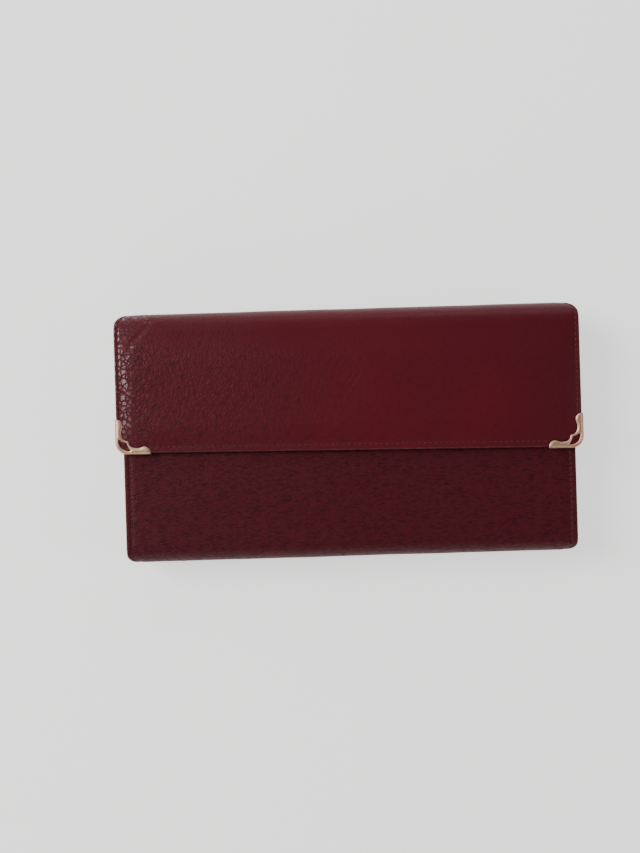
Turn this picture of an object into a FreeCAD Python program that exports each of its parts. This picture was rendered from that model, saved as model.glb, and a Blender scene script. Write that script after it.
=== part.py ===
"""A long flap wallet, lying on its back with the flap shut.

X runs across the wallet, +Y runs from the bottom fold to the spine, and +Z points out of the flap.
The origin is on the surface the wallet lies on, under the middle of its outline. Sizes are millimetres.

The leather cover is one strip that wraps the whole wallet: front panel, bottom fold, back, spine and flap.
It is modelled in the four lengths that move as stiff pieces. Each is leather over lining, and all but the
spine have a board between the two.
Between the back and the front panel hangs a zipped coin pouch, with folded gussets at its ends
and card pockets on its front.
"""
import FreeCAD, Part
import math
import os

import Sketcher
from FreeCAD import Placement, Rotation, Vector

doc = FreeCAD.newDocument("long_wallet")

# Two numbers closer than this are the same place, in millimetres.
SAME = 1e-6

# How far a cutting tool passes beyond the faces that it cuts, in millimetres.
PASS = 1

# ---------------------------------------------------------------- driving dimensions

SIZES = [
    ("height", 99.6, "bottom fold to spine, over the leather"),
    ("flap_width", 185, "width of the flap and the spine"),
    ("side_overhang", 2.2, "how far the flap stands out past each side of the body"),
    ("flap_left", 55.4, "spine to the flap's lower edge, at its left end"),
    ("flap_right", 58.2, "spine to the flap's lower edge, at its right end"),
    ("front_drop", 10, "spine to the front panel's top edge"),
    ("spine_radius", 8, "outer radius of the two folds of the spine"),
    ("bottom_radius", 6, "outer radius of the two bends of the bottom fold"),
    ("spine_corner", 4.4, "rounding of the outline at the ends of the spine"),
    ("bottom_corner", 3, "rounding of the outline at the bottom corners"),
    ("flap_corner", 4.4, "rounding of the flap's lower corners"),
    ("leather", 0.9, "outer leather"),
    ("board", 0.3, "stiffening board"),
    ("lining", 0.6, "lining leather"),
    ("board_inset", 4, "edge of the leather to the edge of its board"),
    ("board_stop", 1, "start of a bend to the edge of the board beside it"),
    ("board_corner", 2, "rounding of the corners of the flap's board"),
    ("lining_inset", 1, "edge of the leather to the edge of its lining"),
    ("bill_gap", 4.2, "clear depth of each bill compartment"),
    ("flap_gap", 0.9, "front panel to the inside of the shut flap"),
    ("fold_slack", 0.1, "gap in the leather where a stiff length ends"),
    ("pouch_wall", 0.7, "leather of the coin pouch"),
    ("coin_gap", 4.6, "clear depth of the coin pouch"),
    ("pouch_lift", 1.5, "bottom bend to the bottom of the pouch"),
    ("pouch_drop", 22, "spine to the mouth of the pouch"),
    ("pouch_inset", 1.3, "side of the body to the side of the pouch"),
    ("card_leaf", 0.5, "leather of one card pocket"),
    ("card_side", 0.7, "side of the pouch to the card pockets"),
    ("card_split", 1.4, "gap between the two columns of card pockets"),
    ("card_drop", 5, "mouth of the pouch to the highest card pocket's edge"),
    ("card_step", 9, "from one card pocket's edge to the next one down"),
    ("gusset_leaf", 0.4, "leather of a gusset"),
    ("gusset_depth", 7, "how far a folded gusset reaches inwards"),
    ("gusset_drop", 1, "mouth of the pouch to the top of the gussets"),
    ("tape_clearance", 1, "zip tape to the top of the pouch's own gussets"),
    ("corner_arm", 13.8, "length of each arm of a metal corner"),
    ("corner_bulb", 3.0, "width of an arm at its rounded end"),
    ("corner_neck", 2.45, "width of an arm at its waist"),
    ("corner_knee", 5.1, "outer sides of a metal corner to the knee between its arms"),
    ("corner_rim", 0.7, "metal between the knee and the window, along each arm"),
    ("corner_border", 1.35, "metal between the sides and the window"),
    ("corner_sheet", 0.3, "thickness of a metal corner"),
    ("corner_slack", 0.05, "leather's edge to the inside of a metal corner"),
    ("snap_rise", 14, "flap's lower edge, at its middle, to the snap"),
    ("socket_radius", 5.2, "outside of the snap's socket"),
    ("socket_bore", 2.9, "mouth of the snap's socket"),
    ("socket_proud", 0.45, "how far the socket's rim stands out of the lining"),
    ("socket_lip", 0.4, "mouth of the socket to the crest of its rim"),
    ("socket_chamfer", 0.6, "side of the socket to the crest of its rim"),
    ("stud_radius", 2.2, "head of the snap's stud"),
    ("stud_flange", 4.2, "foot of the snap's stud"),
    ("stud_shank", 1.54, "shank of the snap's stud, through the front panel"),
    ("stud_foot", 0.2, "thickness of the foot of the snap's stud"),
    ("snap_clearance", 0.2, "stud to the bottom of the socket"),
    ("thread", 0.5, "width of a sewing thread"),
    ("thread_proud", 0.12, "how far a thread stands out of the leather"),
    ("seam_inset", 2.4, "leather's edge to the seam"),
    ("side_seam", 1.6, "side of the flap to its seam"),
    ("seam_stop", 1, "metal corner to the end of the flap's thread"),
    ("seam_start", 0.5, "bottom bend to the start of the front panel's thread"),
    ("tape", 0.35, "woven zip tape"),
    ("tape_leg", 9.6, "tape sewn to the pouch wall"),
    ("tooth_row", 1.2, "middle of the zip to the root of a tooth"),
    ("tooth_gap", 0.25, "middle of the zip to the tip of a tooth"),
    ("tooth_tall", 1.4, "height of a tooth"),
    ("tooth_wide", 1.0, "one tooth along the zip"),
    ("tooth_pitch", 2.0, "from one tooth of a row to the next"),
    ("stop_wide", 1.6, "one zip stop along the zip"),
    ("zip_inset", 11, "side of the pouch to the end of the rows of teeth"),
    ("tape_tail", 4, "end of the rows of teeth to the end of the tape"),
    ("slider_park", 8, "end of the rows of teeth to the middle of the slider at rest"),
    ("slider_length", 8.4, "length of the zip slider"),
    ("slider_plate", 0.8, "thickness of the slider's plates"),
    ("slider_clearance", 0.15, "slider to the teeth and the tape"),
    ("slider_lip", 1.1, "thickness of the upper plate's side lips"),
    ("slider_corner", 0.66, "rounding of the slider's corners"),
    ("web", 0.3, "thickness of the web that joins the slider's plates"),
    ("web_length", 2.73, "length of that web, from the slider's closed end"),
    ("cheek_in", 1.05, "middle of the slider to the inside of the cheeks that hold the pin"),
    ("cheek_out", 1.7, "middle of the slider to the outside of the cheeks"),
    ("cheek_half", 1.3, "pin to the end of a cheek"),
    ("cheek_rise", 0.5, "pin's side to the top of a cheek"),
    ("pull_length", 15, "pin to the end of the pull"),
    ("pull_width", 4.2, "width of the pull"),
    ("pull_sheet", 0.9, "thickness of the pull"),
    ("pull_play", 0.15, "eye of the pull to the cheeks and the slider's plate"),
    ("pull_eye", 0.75, "metal round the eye of the pull"),
    ("pull_start", 0.6, "pin to the start of the tab of the pull"),
    ("pull_neck", 2.8, "pin to the end of the pull's neck"),
    ("pull_shoulder", 4.0, "pin to the pull's shoulders"),
    ("pull_shoulder_half", 1.722, "half of the pull's width at its shoulders"),
    ("pull_hole", 0.945, "radius of the hole in the end of the pull"),
    ("pin_radius", 0.55, "pin that holds the pull"),
    ("pin_clearance", 0.05, "pin to the eye of the pull, radially"),
]

dims = doc.addObject("Spreadsheet::Sheet", "dims")
for row, (alias, value, note) in enumerate(SIZES, 1):
    dims.set(f"A{row}", alias)
    dims.set(f"B{row}", str(value))
    dims.set(f"C{row}", note)
    dims.setAlias(f"B{row}", alias)
doc.recompute()


def cell(alias):
    """The expression that reads one cell."""
    return f"dims.{alias}"


def number(expression):
    """What an expression on the sheet is worth now, for a shape that is set in code."""
    return float(dims.evalExpression(str(expression)))


# ---------------------------------------------------------------- levels that pieces share
# Every level is an expression on the sheet, so whatever stands on it moves with it.

LEATHER, BOARD, LINING = cell("leather"), cell("board"), cell("lining")
WALL = f"({LEATHER} + {BOARD} + {LINING})"
SPINE_R, BOTTOM_R = cell("spine_radius"), cell("bottom_radius")
FLAP_W = cell("flap_width")
BODY_W = f"({FLAP_W} - 2 * {cell('side_overhang')})"

Y_SPINE = f"({cell('height')} / 2)"
Y_FOLD = f"({Y_SPINE} - {SPINE_R})"
Y_LOW = f"(-{cell('height')} / 2)"
Y_BASE = f"({Y_LOW} + {BOTTOM_R})"
Y_FRONT = f"({Y_SPINE} - {cell('front_drop')})"
Y_MOUTH = f"({Y_SPINE} - {cell('pouch_drop')})"

Z_POUCH = f"({WALL} + {cell('bill_gap')})"
Z_COINS = f"({Z_POUCH} + {cell('pouch_wall')})"
Z_COINS_TOP = f"({Z_COINS} + {cell('coin_gap')})"
Z_POUCH_TOP = f"({Z_COINS_TOP} + {cell('pouch_wall')})"
Z_ZIP = f"(({Z_COINS} + {Z_COINS_TOP}) / 2)"
CARD_LAYERS = 3
Z_CARDS_TOP = f"({Z_POUCH_TOP} + {CARD_LAYERS} * {cell('card_leaf')})"
Z_FRONT_IN = f"({Z_CARDS_TOP} + {cell('bill_gap')})"
Z_FRONT = f"({Z_FRONT_IN} + {WALL})"
Z_FLAP_IN = f"({Z_FRONT} + {cell('flap_gap')})"
Z_TOP = f"({Z_FLAP_IN} + {WALL})"

POUCH_R = f"(({Z_POUCH_TOP} - {Z_POUCH}) / 2)"
Y_POUCH_BEND = f"({Y_BASE} + {cell('pouch_lift')} + {POUCH_R})"
POUCH_W = f"({BODY_W} - 2 * {cell('pouch_inset')})"
CARD_W = f"(({POUCH_W} - {cell('card_split')}) / 2 - {cell('card_side')})"
ZIP_LENGTH = f"({POUCH_W} - 2 * {cell('zip_inset')})"

FLAP_SKEW = f"({cell('flap_right')} - {cell('flap_left')})"
Y_FLAP_LOW = f"({Y_SPINE} - {cell('flap_right')})"
Y_SNAP = f"({Y_FLAP_LOW} + {FLAP_SKEW} / 2 + {cell('snap_rise')})"

made = []


# ---------------------------------------------------------------- ways of making a piece


def keep(piece, label):
    """Marks an object as a sub-part and gives it the name of its file."""
    piece.Label = label
    made.append(piece)
    return piece


def origin_plane(body, role):
    return next(f for f in body.Origin.OriginFeatures if f.Role == role)


def place(piece, x="0", y="0", z="0"):
    for axis, expression in zip("xyz", (x, y, z)):
        piece.setExpression(f"Placement.Base.{axis}", expression)
    return piece


def outline_sketch(body, role, corners):
    """A closed outline of straight lines. Each corner is a pair of expressions, from the sketch's origin."""
    sketch = body.newObject("Sketcher::SketchObject", body.Name + "_outline")
    sketch.AttachmentSupport = [(origin_plane(body, role), "")]
    sketch.MapMode = "FlatFace"
    points = [Vector(number(x), number(y), 0) for x, y in corners]
    for i, start in enumerate(points):
        sketch.addGeometry(Part.LineSegment(start, points[(i + 1) % len(points)]), False)
    for i in range(len(points)):
        sketch.addConstraint(Sketcher.Constraint("Coincident", i, 2, (i + 1) % len(points), 1))
    for i, (x, y) in enumerate(corners):
        for kind, expression in (("DistanceX", x), ("DistanceY", y)):
            index = sketch.addConstraint(Sketcher.Constraint(kind, -1, 1, i, 1, number(expression)))
            sketch.setExpression(f"Constraints[{index}]", expression)
    return sketch


def padded_body(name, role, corners, thickness, midplane=False):
    """A body made by padding an outline."""
    body = doc.addObject("PartDesign::Body", name)
    sketch = outline_sketch(body, role, corners)
    pad = body.newObject("PartDesign::Pad", name + "_pad")
    pad.Profile = sketch
    pad.setExpression("Length", thickness)
    pad.Midplane = midplane
    sketch.Visibility = False
    doc.recompute()
    return body


def round_corners(body, radius, chosen):
    """Rounds the upright edges whose foot passes the test chosen(x, y)."""
    names = []
    for i, edge in enumerate(body.Tip.Shape.Edges, 1):
        first, last = edge.Vertexes[0].Point, edge.Vertexes[-1].Point
        upright = abs(first.x - last.x) < SAME and abs(first.y - last.y) < SAME
        if upright and chosen(first.x, first.y):
            names.append(f"Edge{i}")
    sheet = body.Tip
    fillet = body.newObject("PartDesign::Fillet", body.Name + "_corners")
    fillet.Base = (sheet, names)
    fillet.setExpression("Radius", radius)
    body.Tip = fillet
    doc.recompute()
    return body


def any_corner(x, y):
    return True


def panel(name, width, y_low, y_high, thickness, x="0", z="0", corner=None, chosen=any_corner):
    """A flat sheet centred on x, from y_low to y_high, standing on z."""
    corners = [
        (f"-{width} / 2", y_low),
        (f"{width} / 2", y_low),
        (f"{width} / 2", y_high),
        (f"-{width} / 2", y_high),
    ]
    body = padded_body(name, "XY_Plane", corners, thickness)
    if corner:
        round_corners(body, corner, chosen)
    return place(body, x=x, z=z)


def bend(name, outer, inner, width, start, sweep, y, z):
    """Part of a tube round an axis along X: start and sweep are angles from +Y towards +Z."""
    sectors = []
    for part, radius in (("outside", outer), ("inside", inner)):
        sector = doc.addObject("Part::Cylinder", f"{name}_{part}")
        sector.setExpression("Radius", radius)
        sector.setExpression("Height", width)
        sector.setExpression("Angle", sweep)
        turn = math.radians(number(start))
        across = Vector(0, math.cos(turn), math.sin(turn))
        onwards = Vector(0, -math.sin(turn), math.cos(turn))
        sector.Placement = Placement(Vector(0, 0, 0), Rotation(across, onwards, Vector(1, 0, 0), "ZXY"))
        sectors.append(place(sector, x=f"-{width} / 2", y=y, z=z))
    cut = doc.addObject("Part::Cut", name)
    cut.Base, cut.Tool = sectors
    return cut


def block(name, width, y_low, y_high, z_low, z_high):
    """A box centred on x."""
    box = doc.addObject("Part::Box", name)
    box.setExpression("Length", width)
    box.setExpression("Width", f"{y_high} - ({y_low})")
    box.setExpression("Height", f"{z_high} - ({z_low})")
    return place(box, x=f"-{width} / 2", y=y_low, z=z_low)


def fuse(name, pieces):
    joined = doc.addObject("Part::MultiFuse", name)
    joined.Shapes = pieces
    joined.Refine = True
    return joined


def cut(name, base, tool):
    result = doc.addObject("Part::Cut", name)
    result.Base, result.Tool = base, tool
    return result


def trim(name, base, outline):
    result = doc.addObject("Part::Common", name)
    result.Base, result.Tool = base, outline
    return result


def disc(name, radius, y, z, height):
    cylinder = doc.addObject("Part::Cylinder", name)
    cylinder.setExpression("Radius", radius)
    cylinder.setExpression("Height", height)
    return place(cylinder, y=y, z=z)


def solid_feature(name, shape):
    """A piece whose shape is set in code from the sheet's values."""
    feature = doc.addObject("Part::Feature", name)
    feature.Shape = shape
    return feature


def box_between(low, high):
    """A plain solid box from its lowest to its highest corner."""
    size = [high[i] - low[i] for i in range(3)]
    return Part.makeBox(*size, Vector(*low))


def pierce(label, sheet, radius, z, thickness):
    """A sheet that stands on z, with a round hole at the press snap."""
    hole = disc(label + "_hole", radius, Y_SNAP, f"{z} - {PASS}", f"{thickness} + 2 * {PASS}")
    return keep(cut(label, sheet, hole), label)


# ---------------------------------------------------------------- outlines that trim the cover


def outline_column(name, width, radius, chosen):
    """The wallet's rounded outline, as a column that the bent lengths of the cover are trimmed to."""
    return panel(name, width, Y_LOW, Y_SPINE, Z_TOP, corner=radius, chosen=chosen)


def spine_outline(name, inset="0"):
    width = f"({FLAP_W} - 2 * {inset})"
    return outline_column(name, width, cell("spine_corner"), lambda x, y: y > 0)


def bottom_outline(name, inset="0"):
    width = f"({BODY_W} - 2 * {inset})"
    return outline_column(name, width, cell("bottom_corner"), lambda x, y: y < 0)


# ---------------------------------------------------------------- the back and the bottom fold

HALF_BEND = f"(45 - {cell('fold_slack')} / {SPINE_R} * 180 / pi)"


def back_layer(label, depth_out, depth_in, inset="0"):
    """One layer of the back: the lower half of the spine's first bend, the back and the bottom fold."""
    name = label + "_raw"
    width = f"({BODY_W} - 2 * {inset})"
    spine_out, spine_in = f"{SPINE_R} - {depth_out}", f"{SPINE_R} - {depth_in}"
    bottom_out, bottom_in = f"{BOTTOM_R} - {depth_out}", f"{BOTTOM_R} - {depth_in}"
    high_centre = f"({Z_FRONT} - {BOTTOM_R})"
    rise_out, rise_in = f"{Y_LOW} + {depth_out}", f"{Y_LOW} + {depth_in}"
    pieces = [
        bend(name + "_spine_bend", spine_out, spine_in, width, "-90", HALF_BEND, Y_FOLD, SPINE_R),
        block(name + "_flat", width, Y_BASE, Y_FOLD, depth_out, depth_in),
        bend(name + "_low_bend", bottom_out, bottom_in, width, "180", "90", Y_BASE, BOTTOM_R),
        block(name + "_rise", width, rise_out, rise_in, BOTTOM_R, high_centre),
        bend(name + "_high_bend", bottom_out, bottom_in, width, "90", "90", Y_BASE, high_centre),
    ]
    raw = fuse(name, pieces)
    return keep(trim(label, raw, bottom_outline(name + "_column", inset)), label)


back_layer("back_leather", "0", LEATHER)
back_layer("back_lining", f"({LEATHER} + {BOARD})", WALL, cell("lining_inset"))
keep(
    panel(
        "back_board",
        f"({BODY_W} - 2 * {cell('board_inset')})",
        f"{Y_BASE} + {cell('board_stop')}",
        f"{Y_FOLD} - {cell('board_stop')}",
        BOARD,
        z=LEATHER,
        corner=cell("bottom_corner"),
    ),
    "back_board",
)

# ---------------------------------------------------------------- the spine


def spine_layer(label, depth_out, depth_in, inset="0"):
    """One layer of the spine: the upper half of its first bend, the upright and half of its second bend."""
    name = label + "_raw"
    width = f"({FLAP_W} - 2 * {inset})"
    outer, inner = f"{SPINE_R} - {depth_out}", f"{SPINE_R} - {depth_in}"
    high_centre = f"({Z_TOP} - {SPINE_R})"
    rise_in, rise_out = f"{Y_SPINE} - {depth_in}", f"{Y_SPINE} - {depth_out}"
    pieces = [
        bend(name + "_low_bend", outer, inner, width, "-45", "45", Y_FOLD, SPINE_R),
        block(name + "_rise", width, rise_in, rise_out, SPINE_R, high_centre),
        bend(name + "_high_bend", outer, inner, width, "0", HALF_BEND, Y_FOLD, high_centre),
    ]
    raw = fuse(name, pieces)
    return keep(trim(label, raw, spine_outline(name + "_column", inset)), label)


spine_layer("spine_leather", "0", LEATHER)
spine_layer("spine_lining", f"({LEATHER} + {BOARD})", WALL, cell("lining_inset"))

# ---------------------------------------------------------------- the flap


def flap_sheet(name, inset, thickness, z, corner):
    """A flat sheet of the flap. Its lower edge runs a little lower at the right end than at the left."""
    half = f"({FLAP_W} / 2 - {inset})"
    corners = [
        (f"-{half}", f"{Y_FLAP_LOW} + {FLAP_SKEW} + {inset}"),
        (half, f"{Y_FLAP_LOW} + {inset}"),
        (half, Y_FOLD),
        (f"-{half}", Y_FOLD),
    ]
    body = padded_body(name, "XY_Plane", corners, thickness)
    middle = (number(Y_FOLD) + number(Y_FLAP_LOW)) / 2
    round_corners(body, corner, lambda x, y: y < middle)
    return place(body, z=z)


def flap_layer(label, depth_out, depth_in, inset="0"):
    """One layer of the flap, with the upper half of the spine's second bend."""
    name = label + "_raw"
    width = f"({FLAP_W} - 2 * {inset})"
    thickness, z_low = f"{depth_in} - {depth_out}", f"{Z_TOP} - {depth_in}"
    sheet = flap_sheet(name + "_flat", inset, thickness, z_low, cell("flap_corner"))
    outer, inner = f"{SPINE_R} - {depth_out}", f"{SPINE_R} - {depth_in}"
    turn = bend(name + "_bend", outer, inner, width, "45", "45", Y_FOLD, f"({Z_TOP} - {SPINE_R})")
    raw = fuse(name, [sheet, turn])
    return trim(label, raw, spine_outline(name + "_column", inset))


keep(flap_layer("flap_leather", "0", LEATHER), "flap_leather")

lining_whole = flap_layer("flap_lining_whole", f"({LEATHER} + {BOARD})", WALL, cell("lining_inset"))
pierce("flap_lining", lining_whole, cell("socket_radius"), Z_FLAP_IN, LINING)

Z_FLAP_BOARD = f"({Z_FLAP_IN} + {LINING})"
board_whole = flap_sheet("flap_board_whole", cell("board_inset"), BOARD, Z_FLAP_BOARD, cell("board_corner"))
pierce("flap_board", board_whole, cell("socket_radius"), Z_FLAP_BOARD, BOARD)

# ---------------------------------------------------------------- the metal corners of the flap


def arc_run(points):
    """Arcs that follow each other: every second point is the middle of an arc, the others are its ends."""
    starts = range(0, len(points) - 2, 2)
    return [Part.Arc(*(Vector(x, y, 0) for x, y in points[i : i + 3])).toShape() for i in starts]


def swapped(points):
    """The same points on the other arm, in the opposite order."""
    return [(y, x) for x, y in reversed(points)]


def scroll_plate(arm, radius, height):
    """The face plate of a corner, in its own frame: the arms run from the origin along +X and +Y.

    Each arm starts in a round bulb, narrows to a neck and swells to a knee, which frames a window.
    """
    bulb, neck, knee = (number(cell(a)) for a in ("corner_bulb", "corner_neck", "corner_knee"))
    rim, border = number(cell("corner_rim")), number(cell("corner_border"))
    crest_end, rise = arm - 1.07 * bulb, 1.29 * knee
    half = [
        (arm, 0),
        (arm + 0.02 * bulb, 0.3 * bulb),
        (arm - 0.3 * bulb, 0.85 * bulb),
        (arm - 0.63 * bulb, bulb),
        (crest_end, 0.97 * bulb),
        ((crest_end + rise) / 2, neck),
        (rise, 1.14 * neck),
        (1.13 * knee, 0.68 * knee),
        (1.05 * knee, 0.85 * knee),
    ]
    inside = half + [(knee, knee)] + swapped(half)
    turn = radius * (1 - math.sqrt(0.5))
    edges = arc_run(inside) + arc_run([(0, radius), (turn, turn), (radius, 0)])
    edges.append(Part.LineSegment(Vector(radius, 0, 0), Vector(arm, 0, 0)).toShape())
    edges.append(Part.LineSegment(Vector(0, arm, 0), Vector(0, radius, 0)).toShape())
    plate = Part.Face(Part.Wire(Part.__sortEdges__(edges)))

    # The window has a sharp tip towards each arm, a round outer side and a knee of its own.
    tip, hollow = (1.17 * knee, border), (0.97 * knee, 0.585 * knee)
    middle = border + turn * 0.8
    edges = arc_run([tip, (middle, middle), swapped([tip])[0]])
    edges += arc_run([tip, hollow, (knee - rim, knee - rim), swapped([hollow])[0], swapped([tip])[0]])
    plate = plate.cut(Part.Face(Part.Wire(Part.__sortEdges__(edges))))
    return plate.extrude(Vector(0, 0, height))


def quarter_block(arm, radius, inset, height):
    """A square block that starts at inset on both arms, with that corner rounded."""
    block_shape = box_between((inset, inset, 0), (arm, arm, height))
    middle = Vector(inset, inset, height / 2)
    upright = [e for e in block_shape.Edges if (e.CenterOfMass - middle).Length < SAME]
    return block_shape.makeFillet(radius, upright)


def corner_cover(arm, radius, sheet, inside):
    """A metal corner in its own frame: face plate, edge wall and back plate, folded from one sheet."""
    height = inside + 2 * sheet
    wall = quarter_block(arm, radius, 0, height)
    wall = wall.cut(quarter_block(arm + PASS, radius - sheet, sheet, height))
    wall.translate(Vector(0, 0, -inside - sheet))
    back_plate = scroll_plate(arm, radius, sheet)
    back_plate.translate(Vector(0, 0, -inside - sheet))
    whole = scroll_plate(arm, radius, sheet).fuse([wall, back_plate])
    return whole.removeSplitter()


def metal_corner(side):
    """The corner on one side: -1 is the left one and 1 the right one. It stands square to the flap's side."""
    sheet, slack = number(cell("corner_sheet")), number(cell("corner_slack"))
    radius = number(cell("flap_corner")) + sheet + slack
    shape = corner_cover(number(cell("corner_arm")), radius, sheet, number(WALL))
    skew = number(FLAP_SKEW)
    slope = math.atan2(skew, number(FLAP_W))
    low = number(Y_FLAP_LOW) + (skew if side < 0 else 0)
    stand_off = sheet + slack
    if side > 0:
        shape = shape.mirror(Vector(0, 0, 0), Vector(1, 0, 0))
    # The lower arm follows the flap's lower edge, so the corner is sheared by the slope of that edge.
    shear = FreeCAD.Matrix()
    shear.A21 = -math.tan(slope)
    shape = shape.transformGeometry(shear)
    x = side * (number(FLAP_W) / 2 + stand_off)
    drop = stand_off * (1 / math.cos(slope) + side * math.tan(slope))
    shape.translate(Vector(x, low - drop, number(Z_TOP)))
    return shape


for corner_name, corner_side in (("corner_left", -1), ("corner_right", 1)):
    keep(solid_feature(corner_name, metal_corner(corner_side)), corner_name)

# ---------------------------------------------------------------- the front panel

Y_FRONT_FOOT = f"({Y_BASE} + {cell('fold_slack')})"


def upper_corner(x, y):
    return y > 0


front_sheet = panel(
    "front_leather_sheet",
    BODY_W,
    Y_FRONT_FOOT,
    Y_FRONT,
    LEATHER,
    z=f"{Z_FRONT} - {LEATHER}",
    corner=cell("bottom_corner"),
    chosen=upper_corner,
)
pierce("front_leather", front_sheet, cell("stud_shank"), f"{Z_FRONT} - {LEATHER}", LEATHER)

front_board_sheet = panel(
    "front_board_sheet",
    f"({BODY_W} - 2 * {cell('board_inset')})",
    f"{Y_BASE} + {cell('board_stop')}",
    f"{Y_FRONT} - {cell('board_inset')}",
    BOARD,
    z=f"{Z_FRONT_IN} + {LINING}",
    corner=cell("bottom_corner"),
)
pierce("front_board", front_board_sheet, cell("stud_flange"), f"{Z_FRONT_IN} + {LINING}", BOARD)

keep(
    panel(
        "front_lining",
        f"({BODY_W} - 2 * {cell('lining_inset')})",
        Y_FRONT_FOOT,
        f"{Y_FRONT} - {cell('lining_inset')}",
        LINING,
        z=Z_FRONT_IN,
        corner=cell("bottom_corner"),
        chosen=upper_corner,
    ),
    "front_lining",
)

# ---------------------------------------------------------------- the press snap


def turned(profile):
    """A solid of revolution about Z from a closed list of (radius, height) corners."""
    points = [Vector(r, 0, z) for r, z in profile]
    face = Part.Face(Part.makePolygon(points + points[:1]))
    return face.revolve(Vector(0, 0, 0), Vector(0, 0, 1), 360)


def stud_shape():
    """The male half: a foot on the leather, a waisted head, and a shank that goes through to the rivet."""
    head, foot, shank = (number(cell(a)) for a in ("stud_radius", "stud_flange", "stud_shank"))
    leather = number(LEATHER)
    foot_height = number(cell("stud_foot"))
    top = number(cell("flap_gap")) + number(LINING) - number(cell("snap_clearance"))
    waist = 0.86 * head
    profile = [
        (0, -leather),
        (shank, -leather),
        (shank, 0),
        (foot, 0),
        (foot, foot_height),
        (waist, 1.6 * foot_height),
        (waist, 0.5 * top),
        (head, 0.72 * top),
        (0.92 * head, 0.92 * top),
        (0.6 * head, top),
        (0, top),
    ]
    return turned(profile)


def socket_shape():
    """The female half: a ring sunk in the lining with a rolled rim that stands a little proud."""
    outer, bore = number(cell("socket_radius")), number(cell("socket_bore"))
    lip, chamfer = number(cell("socket_lip")), number(cell("socket_chamfer"))
    depth, proud = number(LINING), number(cell("socket_proud"))
    profile = [
        (bore, -0.7 * proud),
        (bore + lip, -proud),
        (outer - chamfer, -proud),
        (outer, -0.4 * proud),
        (outer, depth),
        (bore, depth),
    ]
    return turned(profile)


snap_stud = keep(solid_feature("snap_stud", stud_shape()), "snap_stud")
place(snap_stud, y=Y_SNAP, z=Z_FRONT)
rivet = disc("snap_stud_rivet", cell("stud_flange"), Y_SNAP, f"{Z_FRONT_IN} + {LINING}", BOARD)
keep(rivet, "snap_stud_rivet")
snap_socket = keep(solid_feature("snap_socket", socket_shape()), "snap_socket")
place(snap_socket, y=Y_SNAP, z=Z_FLAP_IN)
keep(disc("snap_cap", cell("socket_radius"), Y_SNAP, Z_FLAP_BOARD, BOARD), "snap_cap")

# ---------------------------------------------------------------- the coin pouch

POUCH_R_IN = f"({POUCH_R} - {cell('pouch_wall')})"
pouch_lengths = [
    block("pouch_rear_wall", POUCH_W, Y_POUCH_BEND, Y_MOUTH, Z_POUCH, Z_COINS),
    block("pouch_front_wall", POUCH_W, Y_POUCH_BEND, Y_MOUTH, Z_COINS_TOP, Z_POUCH_TOP),
    bend("pouch_bottom", POUCH_R, POUCH_R_IN, POUCH_W, "90", "180", Y_POUCH_BEND, Z_ZIP),
]
keep(fuse("pouch_leather", pouch_lengths), "pouch_leather")

# ---------------------------------------------------------------- the folded gussets


def gusset(label, side, z_low, z_high, y_low, y_high):
    """A strip folded into a V that points inwards between two walls, from the side of the pouch."""
    leaf = cell("gusset_leaf")
    height = f"({z_high} - {z_low})"
    depth = cell("gusset_depth")
    slope = f"({height} / 2 / {depth})"
    cover = f"({leaf} / {slope})"
    corners = [
        ("0", "0"),
        (f"-{depth}", f"{height} / 2"),
        ("0", height),
        ("0", f"{height} - {leaf}"),
        (f"-{depth} + {cover}", f"{height} / 2"),
        ("0", leaf),
    ]
    signed = [(f"{side} * ({x})", z) for x, z in corners]
    body = padded_body(label, "XZ_Plane", signed, f"{y_high} - ({y_low})")
    return keep(place(body, x=f"{side} * {POUCH_W} / 2", y=y_high, z=z_low), label)


Y_GUSSET_TOP = f"({Y_MOUTH} - {cell('gusset_drop')})"
Y_COIN_GUSSET_TOP = f"({Y_MOUTH} - {cell('tape_leg')} - {cell('tape_clearance')})"
for side_name, side in (("left", -1), ("right", 1)):
    gusset(f"rear_gusset_{side_name}", side, WALL, Z_POUCH, Y_BASE, Y_GUSSET_TOP)
    gusset(f"pouch_gusset_{side_name}", side, Z_COINS, Z_COINS_TOP, Y_POUCH_BEND, Y_COIN_GUSSET_TOP)
    gusset(f"front_gusset_{side_name}", side, Z_CARDS_TOP, Z_FRONT_IN, Y_BASE, Y_GUSSET_TOP)

# ---------------------------------------------------------------- the card pockets

for side_name, side in (("left", -1), ("right", 1)):
    centre = f"{side} * ({cell('card_split')} + {CARD_W}) / 2"
    for layer in range(CARD_LAYERS):
        label = f"card_pocket_{side_name}_{layer + 1}"
        edge = f"{Y_MOUTH} - {cell('card_drop')} - {layer} * {cell('card_step')}"
        keep(
            panel(
                label,
                CARD_W,
                Y_POUCH_BEND,
                edge,
                cell("card_leaf"),
                x=centre,
                z=f"{Z_POUCH_TOP} + {layer} * {cell('card_leaf')}",
            ),
            label,
        )

# ---------------------------------------------------------------- the zip


def tape_piece(label, side):
    """A woven tape: a leg sewn inside the pouch wall and a lip that turns in to carry the teeth."""
    leg, thick, reach = cell("tape_leg"), cell("tape"), f"({cell('coin_gap')} / 2)"
    root = cell("tooth_row")
    corners = [
        ("0", reach),
        ("0", root),
        (f"-{thick}", root),
        (f"-{thick}", f"{reach} - {thick}"),
        (f"-{leg}", f"{reach} - {thick}"),
        (f"-{leg}", reach),
    ]
    signed = [(y, f"{side} * ({z})") for y, z in corners]
    length = f"({ZIP_LENGTH} + 2 * {cell('tape_tail')})"
    body = padded_body(label, "YZ_Plane", signed, length, midplane=True)
    return keep(place(body, y=Y_MOUTH, z=Z_ZIP), label)


tape_piece("zip_tape_rear", -1)
tape_piece("zip_tape_front", 1)

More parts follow.
